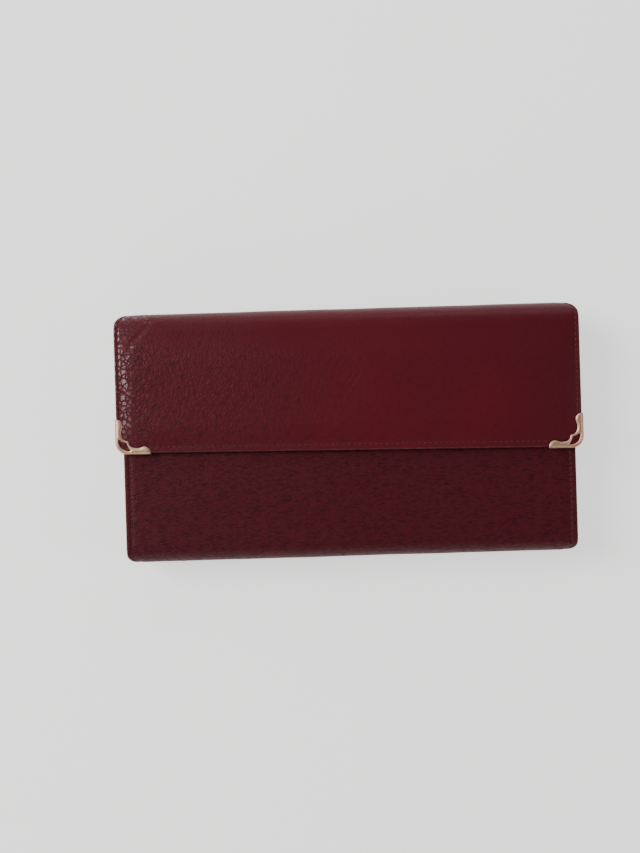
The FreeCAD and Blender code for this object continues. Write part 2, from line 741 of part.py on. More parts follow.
zip_y = number(Y_MOUTH) - number(cell("tape")) / 2
zip_z = number(Z_ZIP)
half_tall = number(cell("tooth_tall")) / 2
tooth_root, tooth_tip = number(cell("tooth_row")), number(cell("tooth_gap"))
tooth_wide, pitch = number(cell("tooth_wide")), number(cell("tooth_pitch"))
zip_half = number(ZIP_LENGTH) / 2


def tooth_row(label, side, offset):
    """One row of teeth, set half a pitch off the other row."""
    count = int((2 * zip_half - pitch) / pitch)
    teeth = []
    near, far = sorted((zip_z + side * tooth_tip, zip_z + side * tooth_root))
    for i in range(count):
        x = -zip_half + offset + i * pitch
        low, high = (x, zip_y - half_tall, near), (x + tooth_wide, zip_y + half_tall, far)
        teeth.append(box_between(low, high))
    return keep(solid_feature(label, Part.makeCompound(teeth)), label)


tooth_row("zip_teeth_rear", -1, pitch / 2)
tooth_row("zip_teeth_front", 1, pitch)


def stop_block(x, z_low, z_high):
    """One stop, centred on x and as tall as the teeth."""
    half = number(cell("stop_wide")) / 2
    low = (x - half, zip_y - half_tall, z_low)
    high = (x + half, zip_y + half_tall, z_high)
    return box_between(low, high)


stop_x = zip_half + tooth_wide
stops = [
    stop_block(-stop_x, zip_z + tooth_tip, zip_z + tooth_root),
    stop_block(-stop_x, zip_z - tooth_root, zip_z - tooth_tip),
    stop_block(stop_x, zip_z - tooth_root, zip_z + tooth_root),
]
keep(solid_feature("zip_stops", Part.makeCompound(stops)), "zip_stops")

# The slider: two plates with side lips, joined by a thin web that runs between the rows of teeth.
clear, plate, lip = (number(cell(a)) for a in ("slider_clearance", "slider_plate", "slider_lip"))
slider_half = number(cell("slider_length")) / 2
slider_x = number(cell("slider_park")) - zip_half
lip_in = tooth_root + clear
upper_out = lip_in + lip
lower_out = number(cell("coin_gap")) / 2 - number(cell("tape")) - clear
teeth_top, teeth_low = zip_y + half_tall, zip_y - half_tall
tape_top, tape_low = number(Y_MOUTH), number(Y_MOUTH) - number(cell("tape"))
plate_top = teeth_top + clear + plate
plate_low = teeth_low - clear - plate
pin_r = number(cell("pin_radius"))
eye_r = pin_r + number(cell("pin_clearance"))
eye_wall, play = number(cell("pull_eye")), number(cell("pull_play"))
cheek_in, cheek_out = number(cell("cheek_in")), number(cell("cheek_out"))
pin_y = plate_top + eye_r + eye_wall + play


def slider_box(along, y_low, y_high, across):
    """A box on the slider: along and across are its lowest and highest distance from the slider's middle."""
    low = (slider_x + min(along), y_low, zip_z + min(across))
    high = (slider_x + max(along), y_high, zip_z + max(across))
    return box_between(low, high)


def pin_rod(radius, half_length):
    """A rod on the pin's axis, as long on both sides of the slider's middle."""
    foot = Vector(slider_x, pin_y, zip_z - half_length)
    return Part.makeCylinder(radius, 2 * half_length, foot, Vector(0, 0, 1))


def slider_shape():
    whole = (-slider_half, slider_half)
    web_end = number(cell("web_length")) - slider_half
    web = number(cell("web")) / 2
    cheek = number(cell("cheek_half"))
    cheek_top = pin_y + pin_r + number(cell("cheek_rise"))
    solids = [
        slider_box(whole, teeth_top + clear, plate_top, (-upper_out, upper_out)),
        slider_box(whole, plate_low, teeth_low - clear, (-lower_out, lower_out)),
        slider_box((-slider_half, web_end), teeth_low - clear, teeth_top + clear, (-web, web)),
    ]
    for side in (-1, 1):
        solids += [
            slider_box(whole, tape_top + clear, teeth_top + clear, (side * lip_in, side * upper_out)),
            slider_box(whole, teeth_low - clear, tape_low - clear, (side * lip_in, side * lower_out)),
            slider_box((-cheek, cheek), plate_top, cheek_top, (side * cheek_in, side * cheek_out)),
        ]
    body = solids[0].fuse(solids[1:]).removeSplitter()
    outer = []
    for edge in body.Edges:
        centre = edge.CenterOfMass
        upright = abs(edge.Vertexes[0].Z - edge.Vertexes[-1].Z) < SAME
        at_end = abs(abs(centre.x - slider_x) - slider_half) < SAME
        if upright and at_end and abs(abs(centre.z - zip_z) - upper_out) < SAME:
            outer.append(edge)
    body = body.makeFillet(number(cell("slider_corner")), outer)
    return body.cut(pin_rod(pin_r, cheek_out + PASS))


keep(solid_feature("zip_slider", slider_shape()), "zip_slider")
keep(solid_feature("pull_pin", pin_rod(pin_r, cheek_out)), "pull_pin")


def pull_shape():
    """The pull: an eye on the pin and a flat tab that widens to a round end with a hole in it."""
    length, sheet = number(cell("pull_length")), number(cell("pull_sheet"))
    half = number(cell("pull_width")) / 2
    neck = cheek_in - play
    start, neck_end = number(cell("pull_start")), number(cell("pull_neck"))
    shoulder, shoulder_half = number(cell("pull_shoulder")), number(cell("pull_shoulder_half"))
    round_at = length - half
    below = [(round_at, -half), (shoulder, -shoulder_half), (neck_end, -neck), (start, -neck)]
    above = [(x, -z) for x, z in reversed(below)]
    corners = [Vector(x, 0, z) for x, z in below + above]
    edges = [Part.LineSegment(a, b).toShape() for a, b in zip(corners, corners[1:])]
    edges.append(Part.Arc(corners[-1], Vector(length, 0, 0), corners[0]).toShape())
    tab = Part.Face(Part.Wire(edges)).extrude(Vector(0, sheet, 0))
    tab.translate(Vector(slider_x, pin_y - sheet / 2, zip_z))
    hole_foot = Vector(slider_x + round_at, pin_y - sheet / 2 - PASS, zip_z)
    hole = Part.makeCylinder(number(cell("pull_hole")), sheet + 2 * PASS, hole_foot, Vector(0, 1, 0))
    pull = pin_rod(eye_r + eye_wall, neck).fuse(tab)
    return pull.cut(pin_rod(eye_r, neck + PASS)).cut(hole).removeSplitter()


keep(solid_feature("zip_pull", pull_shape()), "zip_pull")

# ---------------------------------------------------------------- the sewing threads


def thread_run(points, z):
    """Straight lengths of thread lying on a surface at height z, each from one point to the next."""
    wide, proud = number(cell("thread")), number(cell("thread_proud"))
    runs = []
    for (x0, y0), (x1, y1) in points:
        length = math.hypot(x1 - x0, y1 - y0)
        run = Part.makeBox(length, wide, proud, Vector(0, -wide / 2, 0))
        run.rotate(Vector(0, 0, 0), Vector(0, 0, 1), math.degrees(math.atan2(y1 - y0, x1 - x0)))
        run.translate(Vector(x0, y0, z))
        runs.append(run)
    return Part.makeCompound(runs)


seam, side_seam = number(cell("seam_inset")), number(cell("side_seam"))
flap_half, body_half = number(FLAP_W) / 2, number(BODY_W) / 2
skew_slope = number(FLAP_SKEW) / number(FLAP_W)
flap_low_left = number(Y_FLAP_LOW) + number(FLAP_SKEW)
flap_low_right = number(Y_FLAP_LOW)
arm_reach = number(cell("corner_arm")) + number(cell("seam_stop"))
flap_seam = [
    ((-flap_half + side_seam, number(Y_FOLD)), (-flap_half + side_seam, flap_low_left + arm_reach)),
    (
        (-flap_half + arm_reach, flap_low_left - arm_reach * skew_slope + seam),
        (flap_half - arm_reach, flap_low_right + arm_reach * skew_slope + seam),
    ),
    ((flap_half - side_seam, flap_low_right + arm_reach), (flap_half - side_seam, number(Y_FOLD))),
]
keep(solid_feature("flap_thread", thread_run(flap_seam, number(Z_TOP))), "flap_thread")

front_low, front_high = number(Y_BASE) + number(cell("seam_start")), number(Y_FRONT) - seam
half_thread = number(cell("thread")) / 2
seam_x, seam_y = body_half - seam, front_high - half_thread
front_seam = [
    ((-seam_x, front_low), (-seam_x, front_high)),
    ((-seam_x + half_thread, seam_y), (seam_x - half_thread, seam_y)),
    ((seam_x, front_high), (seam_x, front_low)),
]
keep(solid_feature("front_thread", thread_run(front_seam, number(Z_FRONT))), "front_thread")

# ---------------------------------------------------------------- check and write

doc.recompute()
faults = [o.Name for o in doc.Objects if "Invalid" in o.State or "Error" in o.State]
if faults:
    raise RuntimeError(f"these objects failed: {faults}")
for piece in made:
    shape = piece.Shape
    if shape.isNull() or not shape.isValid() or not shape.Solids or shape.Volume <= 0:
        raise RuntimeError(f"{piece.Label} has no valid solid")

os.makedirs("parts", exist_ok=True)
for piece in made:
    piece.Shape.exportStep(f"parts/{piece.Label}.step")
    print(f"{piece.Label}: {len(piece.Shape.Solids)} solid(s), {piece.Shape.Volume:.1f} mm3")
print(f"{len(made)} sub-parts")
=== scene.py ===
# %% [markdown]
# # A long flap wallet in pebbled bordeaux leather
#
# The wallet lies on its back with the flap shut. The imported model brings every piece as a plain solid, in
# place and on the body that it moves with. Here the leather, the seams and the metal get the shape and the
# finish of the real ones, and the plain solids behind them stay hidden.

import math

import bmesh
import bpy
import numpy as np
from mathutils import Matrix, Vector
from mathutils.kdtree import KDTree


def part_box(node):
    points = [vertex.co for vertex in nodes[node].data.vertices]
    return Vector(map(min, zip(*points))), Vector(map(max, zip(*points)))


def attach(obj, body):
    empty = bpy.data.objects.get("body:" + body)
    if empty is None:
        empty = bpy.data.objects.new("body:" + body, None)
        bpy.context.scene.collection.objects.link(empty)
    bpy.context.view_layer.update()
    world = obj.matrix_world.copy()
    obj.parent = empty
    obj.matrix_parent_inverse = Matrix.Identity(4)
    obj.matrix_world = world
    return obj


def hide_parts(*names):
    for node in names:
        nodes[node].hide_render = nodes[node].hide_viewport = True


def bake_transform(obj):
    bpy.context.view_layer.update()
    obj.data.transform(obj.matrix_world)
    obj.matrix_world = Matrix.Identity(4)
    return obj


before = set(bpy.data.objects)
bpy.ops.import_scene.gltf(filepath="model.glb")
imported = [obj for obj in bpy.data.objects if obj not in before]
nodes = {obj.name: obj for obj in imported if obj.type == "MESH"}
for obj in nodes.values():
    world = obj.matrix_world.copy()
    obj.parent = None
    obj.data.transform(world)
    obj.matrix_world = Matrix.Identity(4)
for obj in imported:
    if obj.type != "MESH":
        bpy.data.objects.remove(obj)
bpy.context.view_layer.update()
MM = 0.001
print("pieces:", len(nodes))


# %% [markdown]
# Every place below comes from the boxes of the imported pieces, so the looks stay on the model. Lengths are
# worked out in millimetres, which suit leatherwork, and become metres when a mesh is made. The flap's lower
# edge isn't square to its sides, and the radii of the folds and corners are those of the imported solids.

# %% Read the main sizes
def box_mm(node):
    """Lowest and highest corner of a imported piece, in millimetres."""
    low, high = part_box(node)
    return np.array(low) / MM, np.array(high) / MM


flap_low, flap_high = box_mm("flap_leather")
spine_high = box_mm("spine_leather")[1]
back_low, back_high = box_mm("back_leather")
front_high = box_mm("front_leather")[1]

FLAP_HALF = flap_high[0]
BODY_HALF = back_high[0]
TOP = flap_high[2]
FRONT_TOP = front_high[2]
Y_SPINE, Y_LOW = spine_high[1], back_low[1]
Y_FLAP, Y_FRONT = flap_low[1], front_high[1]
FLAP_SKEW = 2.8
SPINE_R, BOTTOM_R = 8.0, 6.0
Y_FOLD, Y_BASE = Y_SPINE - SPINE_R, Y_LOW + BOTTOM_R
SPINE_CORNER, FRONT_CORNER, FLAP_CORNER = 4.4, 3.0, 4.4
SEAM, SIDE_SEAM = 2.4, 1.6
print(f"wallet {2 * FLAP_HALF:.1f} x {Y_SPINE - Y_LOW:.1f} x {TOP:.1f} mm")
print(f"the flap reaches down to y = {Y_FLAP:.1f}")


# %% [markdown]
# ## Camera, floor and light
#
# The wallet is seen square from above, a hand's reach away, a little off the middle of the picture and
# turned by less than two degrees. The strongest light is a big soft one at the upper left. A cool one beyond
# the spine shines along the top fold, and two weak ones from the right and from below keep the right end and
# the lower panel from going black.

# %% Place the camera
VIEW_HEIGHT = 420.0
VIEW_LONG_SIDE = 338.22
VIEW_MIDDLE = (-11.55, 2.75)
VIEW_TURN = -1.72
SENSOR = 36.0
camera_data = bpy.data.cameras.new("camera")
camera_data.sensor_width = SENSOR
camera_data.lens = VIEW_HEIGHT / VIEW_LONG_SIDE * SENSOR
camera_data.clip_start = 0.01
camera = bpy.data.objects.new("camera", camera_data)
bpy.context.scene.collection.objects.link(camera)
camera.location = Vector((*VIEW_MIDDLE, TOP + VIEW_HEIGHT)) * MM
camera.rotation_euler = (0, 0, math.radians(VIEW_TURN))
bpy.context.scene.camera = camera
print(f"lens {camera_data.lens:.1f} mm")


# %% Set the lights
WARM_WHITE, WARMER_WHITE, COOL_WHITE = (1.0, 0.985, 0.97), (1.0, 0.98, 0.97), (0.94, 0.96, 1.0)


def area_light(name, place, aim, size, power, colour):
    """A square soft light at place, turned towards aim. Places are in metres."""
    data = bpy.data.lights.new(name, "AREA")
    data.shape = "RECTANGLE"
    data.size, data.size_y = size
    data.energy = power
    data.color = colour
    light = bpy.data.objects.new(name, data)
    light.location = place
    light.rotation_euler = (Vector(aim) - Vector(place)).to_track_quat("-Z", "Y").to_euler()
    bpy.context.scene.collection.objects.link(light)
    return light


area_light("key", (-0.95, 0.42, 0.85), (0, 0.01, 0), (0.75, 0.75), power=19.0, colour=WARM_WHITE)
area_light("spine_light", (0.15, 1.10, 0.50), (0, 0.02, 0), (0.9, 0.4), power=3.4, colour=COOL_WHITE)
area_light("right_fill", (1.25, -0.30, 0.56), (0, 0, 0), (0.6, 0.6), power=4.6, colour=WARM_WHITE)
area_light("low_fill", (-0.1, -1.10, 0.52), (0, 0, 0), (0.9, 0.5), power=4.4, colour=WARMER_WHITE)

world = bpy.data.worlds.new("room")
world.use_nodes = True
background = world.node_tree.nodes["Background"]
background.inputs["Color"].default_value = (0.95, 0.97, 1.0, 1)
background.inputs["Strength"].default_value = 0.08
bpy.context.scene.world = world


# %% [markdown]
# ## Node arithmetic
#
# A leather finish is mostly arithmetic on patterns. One small class wraps a socket, so that patterns are
# added and multiplied as in any Python formula, and one method makes every other kind of node.

# %% Wrap a shader socket
def connect(tree, value, socket):
    """Puts a number, a colour or another wire into a socket."""
    if isinstance(value, Wire):
        tree.links.new(value.socket, socket)
    elif hasattr(socket.default_value, "__len__") and not hasattr(value, "__len__"):
        socket.default_value = [value] * len(socket.default_value)
    else:
        socket.default_value = value


class Wire:
    """One value on its way through a material."""

    def __init__(self, tree, socket):
        self.tree, self.socket = tree, socket

    def node(self, kind, settings=None, out=0, **inputs):
        """Adds a node of that kind. Settings are set first; inputs are socket names, or i0, i1 for places."""
        made = self.tree.nodes.new("ShaderNode" + kind)
        for key, value in (settings or {}).items():
            setattr(made, key, value)
        for key, value in inputs.items():
            place = int(key[1:]) if key[0] == "i" and key[1:].isdigit() else key
            connect(self.tree, value, made.inputs[place])
        return Wire(self.tree, made.outputs[out])

    def math(self, operation, *values):
        return self.node("Math", {"operation": operation}, **{f"i{i}": v for i, v in enumerate(values)})

    def __add__(self, other):
        return self.math("ADD", self, other)

    def __radd__(self, other):
        return self.math("ADD", other, self)

    def __sub__(self, other):
        return self.math("SUBTRACT", self, other)

    def __rsub__(self, other):
        return self.math("SUBTRACT", other, self)

    def __mul__(self, other):
        return self.math("MULTIPLY", self, other)

    def __rmul__(self, other):
        return self.math("MULTIPLY", other, self)

    def __pow__(self, other):
        return self.math("POWER", self, other)


print("a wire can be added, subtracted, multiplied and raised to a power")


# %% Shape and mix wires
def clamp(wire):
    return wire.node("Clamp", Value=wire)


def step_up(wire, low, high):
    """0 below low, 1 above high and a smooth rise between."""
    settings = {"interpolation_type": "SMOOTHSTEP"}
    return wire.node("MapRange", settings, Value=wire, **{"From Min": low, "From Max": high})


def axes_of(place):
    """The three coordinates of a vector, each as a wire."""
    split = place.tree.nodes.new("ShaderNodeSeparateXYZ")
    place.tree.links.new(place.socket, split.inputs[0])
    return [Wire(place.tree, output) for output in split.outputs]


def mixed(mask, first, second):
    """A colour between two, by a mask from 0 to 1."""
    tree = mask.tree
    mix = tree.nodes.new("ShaderNodeMix")
    mix.data_type = "RGBA"
    for name, value in (("Factor", mask), ("A", first), ("B", second)):
        socket = next(s for s in mix.inputs if s.name == name and s.enabled)
        connect(tree, value, socket)
    return Wire(tree, next(s for s in mix.outputs if s.enabled))


print("masks, axes and mixing ready")


# %% Start a finish
SCREEN_GAMMA = 2.2


def colour(red, green, blue):
    """A colour as a screen shows it, from 0 to 255, made linear."""
    return tuple((c / 255) ** SCREEN_GAMMA for c in (red, green, blue)) + (1.0,)


def linear(red, green, blue):
    """A colour as light sees it, from 0 to 1."""
    return (red, green, blue, 1.0)


def new_finish(name):
    """An empty material: gives it, its main shader and a wire that carries the place on the piece."""
    material = bpy.data.materials.new(name)
    material.use_nodes = True
    tree = material.node_tree
    shader = tree.nodes["Principled BSDF"]
    place = Wire(tree, tree.nodes.new("ShaderNodeTexCoord").outputs["Object"])
    return material, shader, place


print("a screen's mid grey is", round(colour(128, 128, 128)[0], 3), "in linear light")


# %% [markdown]
# ## The outer leather
#
# Pebbled calf is a skin of small round cushions with fine valleys between them. An image could show them,
# but it would need seams where it wraps and would repeat, so the grain is a pattern in space. A Voronoi
# pattern gives the cells. Its distance to the nearest edge makes each cell a cushion, and noise bends the
# cells so that they look grown. Handling polishes the tops of the cushions, most of all along the flap's
# left side, and rubs the grain nearly flat in the middle of the flap and to its right. The lower panel's
# grain is finer and lies along the wallet. The colour also carries painted light: a painted highlight
# lightens a thin line along every edge and the cushion tops along the flap's left side, and painted shade
# darkens the whole lower panel and the flap's right end.
#
# One finish serves the whole cover. It tells the flap from the panel by the place on the wallet, so the
# grain runs on unbroken from one length of leather to the next.

# %% Make a pebbled grain
CUSHION_RISE, CUSHION_ROUND = 2.4, 2.4


def pebbles(place, size, seed=0.0):
    """Round cushions of about that size in metres: 0 in the valleys and 1 on the tops."""
    moved = place.node("Mapping", Vector=place, Location=(seed, seed, seed))
    settings = {"feature": "DISTANCE_TO_EDGE"}
    cells = place.node("TexVoronoi", settings, Vector=moved, Scale=1 / size, Randomness=0.95)
    return 1 - (1 - clamp(cells * CUSHION_RISE)) ** CUSHION_ROUND


def shifted(place, amount, scale, stretch=(1, 1, 1)):
    """The place pushed about by noise and stretched, so that a pattern on it looks grown."""
    noise = place.node("TexNoise", out="Color", Vector=place, Scale=scale, Detail=2.0)
    centred = place.node("VectorMath", {"operation": "SUBTRACT"}, i0=noise, i1=(0.5, 0.5, 0.5))
    push = place.node("VectorMath", {"operation": "SCALE"}, i0=centred, Scale=amount)
    moved = place.node("VectorMath", {"operation": "ADD"}, i0=place, i1=push)
    return place.node("Mapping", Vector=moved, Scale=stretch)


print("grain ready")


# %% Say where the leather changes
# Each pair is where a change starts and where it is complete, in metres along one axis.
FLAP_LEVEL, SPINE_START = (0.0202, 0.0205), (0.0405, 0.0415)
LEFT_RIM = (-0.0885, -0.0720)
WORN_RIGHT, WORN_TOP, ABOVE_LOW_BEND = (-0.060, 0.025), (0.030, 0.040), (0.010, 0.016)
ROSY_START, ROSY_END, ROSY_TOP = (-0.055, 0.000), (0.045, 0.085), (0.012, 0.040)
# Painted shade darkens the flap's right end, rising between these two places across the wallet, in metres.
PAINTED_SHADE_RIGHT_END = (0.035, 0.080)
PATCH_SCALE = 34.0


def cover_regions(place):
    """Masks for the flap with the spine, its left rim, its worn part, its rosy part and its right end, which
    takes painted shade.
    """
    x, y, z = axes_of(place)
    flap = clamp(step_up(z, *FLAP_LEVEL) + step_up(y, *SPINE_START))
    left_rim = (1 - step_up(x, *LEFT_RIM)) * flap
    worn = flap * clamp(step_up(x, *WORN_RIGHT) * 0.9 + step_up(y, *WORN_TOP) * 0.7)
    worn = worn * step_up(z, *ABOVE_LOW_BEND)
    patches = place.node("TexNoise", Vector=place, Scale=PATCH_SCALE, Detail=3.0)
    rosy = (0.35 + 0.65 * step_up(patches, 0.34, 0.66)) * step_up(x, *ROSY_START)
    rosy = rosy * (1 - step_up(x, *ROSY_END)) * (1 - step_up(y, *ROSY_TOP) * 0.6) * flap
    return flap, left_rim, worn, rosy, step_up(x, *PAINTED_SHADE_RIGHT_END) * flap


print("the flap's leather starts", FLAP_LEVEL[0] / MM, "mm up")


# %% Make the outer leather
PEBBLE, SMALL_PEBBLE, LONG_PEBBLE = 0.00195, 0.00085, 0.00105
MOTTLE_SCALE, FINE_SCALE, DASH_SCALE = 430.0, 2400.0, 1600.0
LENGTHWAYS = 0.27
GRAIN_DEPTH, LEATHER_ROUGH = 0.00017, 0.43


def cover_finish(name, dark, mid, rosy, pale):
    material, shader, place = new_finish(name)
    flap, left_rim, worn, rosy_part, painted_shade_right_end = cover_regions(place)
    edge = place.node("Attribute", {"attribute_name": "edge"}, out="Fac")
    mottle = place.node("TexNoise", Vector=place, Scale=MOTTLE_SCALE, Detail=3.0, Roughness=0.55)
    fine = place.node("TexNoise", Vector=place, Scale=FINE_SCALE, Detail=2.0)
    along = place.node("Mapping", Vector=place, Scale=(LENGTHWAYS, 1.0, 1.0))
    dashes = place.node("TexNoise", Vector=along, Scale=DASH_SCALE, Detail=2.5, Roughness=0.5)

    round_grain = pebbles(shifted(place, 0.0014, 300), PEBBLE)
    small_grain = pebbles(shifted(place, 0.0008, 800), SMALL_PEBBLE, seed=0.4)
    long_grain = pebbles(shifted(place, 0.0014, 300, stretch=(0.34, 1.0, 1)), LONG_PEBBLE, seed=0.7)
    on_flap = round_grain * 0.72 + small_grain * 0.28
    on_panel = long_grain * 0.8 + small_grain * 0.2
    skin = on_panel + (on_flap - on_panel) * flap
    height = skin * (1 - worn * 0.86) * (0.6 + left_rim) + fine * 0.07 + mottle * (0.5 - worn * 0.2)

    # Valleys are darker, but only here and there, so the grain never looks printed.
    valleys = (1 - clamp(skin * 1.5)) * step_up(mottle, 0.36, 0.60) * (1 - worn * 0.85)
    spots = step_up(mottle, 0.52, 0.70) * flap * (1 - worn * 0.7)
    streaks = step_up(dashes, 0.50, 0.66) * (1 - flap)
    # Painted shade darkens the whole lower panel and the flap's right end, on top of the darker spots, streaks
    # and valleys.
    darker_tone_and_painted_shade = valleys * 0.6 + spots * 0.36 + streaks * 0.52 + (1 - flap) * 0.28 + painted_shade_right_end * 0.10
    # A painted highlight lightens a thin line along every edge and the tops of the cushions along the flap's
    # left side.
    edge_highlight_and_rosy_patches = (1 - step_up(edge, 0.15, 0.9)) * (0.3 + step_up(mottle, 0.42, 0.6) * 0.7)
    painted_highlight = clamp(edge_highlight_and_rosy_patches * 0.45 + step_up(skin, 0.85, 1.0) * left_rim * 0.22)
    polish = step_up(skin, 0.45, 0.95)

    tree = material.node_tree
    tint = mixed(clamp(rosy_part * 0.85), mid, rosy)
    tint = mixed(painted_highlight, mixed(clamp(darker_tone_and_painted_shade), tint, dark), pale)
    connect(tree, tint, shader.inputs["Base Color"])
    rough = LEATHER_ROUGH + valleys * 0.2 - worn * 0.04 + fine * 0.06
    connect(tree, clamp(rough), shader.inputs["Roughness"])
    connect(tree, polish * left_rim * 0.9 + polish * 0.03, shader.inputs["Coat Weight"])
    shader.inputs["Specular IOR Level"].default_value = 0.17
    shader.inputs["Coat Roughness"].default_value = 0.22
    bump = place.node("Bump", Height=height, Strength=1.0, Distance=GRAIN_DEPTH)
    connect(tree, bump, shader.inputs["Normal"])
    return material


# The dark colour serves the darker spots, streaks and valleys, and the painted shade.
DARK_DYE_AND_PAINTED_SHADE = linear(0.038, 0.0036, 0.0070)
DYE = linear(0.092, 0.0088, 0.0152)
DYE_ROSY = linear(0.110, 0.0076, 0.0140)
# The pale colour is the tint of the painted highlight.
PAINTED_HIGHLIGHT_TINT = linear(0.180, 0.058, 0.060)
outer_leather = cover_finish("pebbled_leather", DARK_DYE_AND_PAINTED_SHADE, DYE, DYE_ROSY, PAINTED_HIGHLIGHT_TINT)
print("finish:", outer_leather.name)

# %% [markdown]
# ## Lining, thread, tape and metal
#
# The lining is a smooth, thinner leather with a fine grain. The thread is waxed and twisted, so its finish
# has slanting stripes. The metal is pale gold plating that has gone matt. Its patches of wear are noise, and
# it turns pinkish in patches of noise, most of all round the outer ends of the corners.

# %% Make the lining
LINING_PEBBLE, LINING_CLOUDS, LINING_ROUGH = 0.00062, 60.0, 0.46


def lining_finish(name, base, deep):
    material, shader, place = new_finish(name)
    grain = pebbles(shifted(place, 0.0005, 900), LINING_PEBBLE, seed=4)
    cloud = place.node("TexNoise", Vector=place, Scale=LINING_CLOUDS, Detail=3.0)
    tree = material.node_tree
    tint = mixed(clamp((1 - grain) * 0.5 + step_up(cloud, 0.4, 0.7) * 0.3), base, deep)
    connect(tree, tint, shader.inputs["Base Color"])
    rough = LINING_ROUGH + (1 - grain) * 0.2 + cloud * 0.1
    connect(tree, clamp(rough), shader.inputs["Roughness"])
    bump = place.node("Bump", Height=grain * 0.8 + cloud, Strength=0.7, Distance=0.00005)
    connect(tree, bump, shader.inputs["Normal"])
    return material


LINING_DYE, LINING_DEEP = linear(0.105, 0.0095, 0.0165), linear(0.052, 0.0045, 0.0085)
lining_leather = lining_finish("lining_leather", LINING_DYE, LINING_DEEP)
print("finish:", lining_leather.name)


# %% Make the thread and the tape
THREAD_DEEP, THREAD_TOP = linear(0.060, 0.010, 0.014), linear(0.185, 0.046, 0.052)
TAPE_DEEP, TAPE_TOP = linear(0.030, 0.003, 0.006), linear(0.080, 0.008, 0.014)
TWIST, WARP, WEFT = 14000, 11000, 9000


def thread_finish():
    material, shader, place = new_finish("waxed_thread")
    x, y, z = axes_of(place)
    slant = x + y * 0.9 + z * 0.8
    strands = slant.math("SINE", slant * TWIST)
    tree = material.node_tree
    tint = mixed(step_up(strands, -0.8, 0.8), THREAD_DEEP, THREAD_TOP)
    connect(tree, tint, shader.inputs["Base Color"])
    shader.inputs["Roughness"].default_value = 0.6
    shader.inputs["Specular IOR Level"].default_value = 0.12
    bump = place.node("Bump", Height=strands, Strength=0.6, Distance=0.00004)
    connect(tree, bump, shader.inputs["Normal"])
    return material


def tape_finish():
    material, shader, place = new_finish("woven_tape")
    x, y, z = axes_of(place)
    warp = x.math("SINE", x * WARP)
    weft = y.math("SINE", (y + z) * WEFT)
    tree = material.node_tree
    weave = clamp(warp * weft * 0.5 + 0.5)
    connect(tree, mixed(weave, TAPE_DEEP, TAPE_TOP), shader.inputs["Base Color"])
    shader.inputs["Roughness"].default_value = 0.85
    shader.inputs["Sheen Weight"].default_value = 0.25
    bump = place.node("Bump", Height=weave, Strength=0.8, Distance=0.00006)
    connect(tree, bump, shader.inputs["Normal"])
    return material


thread = thread_finish()
tape = tape_finish()
print("finishes:", thread.name, tape.name)


# %% Make the metal and the board
OUTER_ENDS = (0.0872, 0.0895)
WEAR_SCALE, CLOUD_SCALE, SPECK_SCALE = 240.0, 95.0, 1900.0


def plated_metal(name, bright, dull, rosy, rough):
    material, shader, place = new_finish(name)
    x = axes_of(place)[0]
    at_ends = step_up(x.math("ABSOLUTE", x), *OUTER_ENDS)
    wear = place.node("TexNoise", Vector=place, Scale=WEAR_SCALE, Detail=4.0, Roughness=0.65)
    cloud = place.node("TexNoise", Vector=place, Scale=CLOUD_SCALE, Detail=1.0)
    specks = place.node("TexNoise", Vector=place, Scale=SPECK_SCALE, Detail=2.0)
    tree = material.node_tree
    tint = mixed(step_up(wear, 0.35, 0.68), bright, dull)
    edge_highlight_and_rosy_patches = clamp(step_up(cloud, 0.42, 0.62) * 0.45 + at_ends * 0.6)
    connect(tree, mixed(edge_highlight_and_rosy_patches, tint, rosy), shader.inputs["Base Color"])
    connect(tree, clamp(rough + wear * 0.22 + specks * 0.10), shader.inputs["Roughness"])
    shader.inputs["Metallic"].default_value = 1.0
    bump = place.node("Bump", Height=wear * 0.7 + specks * 0.3, Strength=0.5, Distance=0.00005)
    connect(tree, bump, shader.inputs["Normal"])
    return material


def board_finish():
    material, shader, place = new_finish("fibre_board")
    fibres = place.node("TexNoise", Vector=place, Scale=900.0, Detail=4.0)
    tree = material.node_tree
    connect(tree, mixed(fibres, colour(120, 92, 66), colour(150, 120, 90)), shader.inputs["Base Color"])
    shader.inputs["Roughness"].default_value = 0.9
    return material


pale_gold = plated_metal(
    "aged_pale_gold", bright=linear(0.78, 0.58, 0.37), dull=linear(0.60, 0.43, 0.27),
    rosy=linear(0.74, 0.43, 0.32), rough=0.36,
)
zip_gold = plated_metal(
    "zip_pale_gold", bright=linear(0.90, 0.72, 0.46), dull=linear(0.70, 0.53, 0.32),
    rosy=linear(0.86, 0.64, 0.42), rough=0.22,
)
board = board_finish()
print("finishes:", [m.name for m in (pale_gold, zip_gold, board)])

# %% [markdown]
# ## A sheet that follows a profile
#
# Nearly everything here is a sheet: a flat strip that is bent round a profile and has rounded edges.
# A profile is a chain of straight lines and arcs seen from the end of the wallet. The sheet is a grid of
# points on the profile's outer side and another on its inner side, and both roll round to meet at the edges.
# Solidify and Bevel could thicken one grid, but here every edge needs its own distance field, which rounds
# the corners, places the painted edge highlight and shapes the relief.

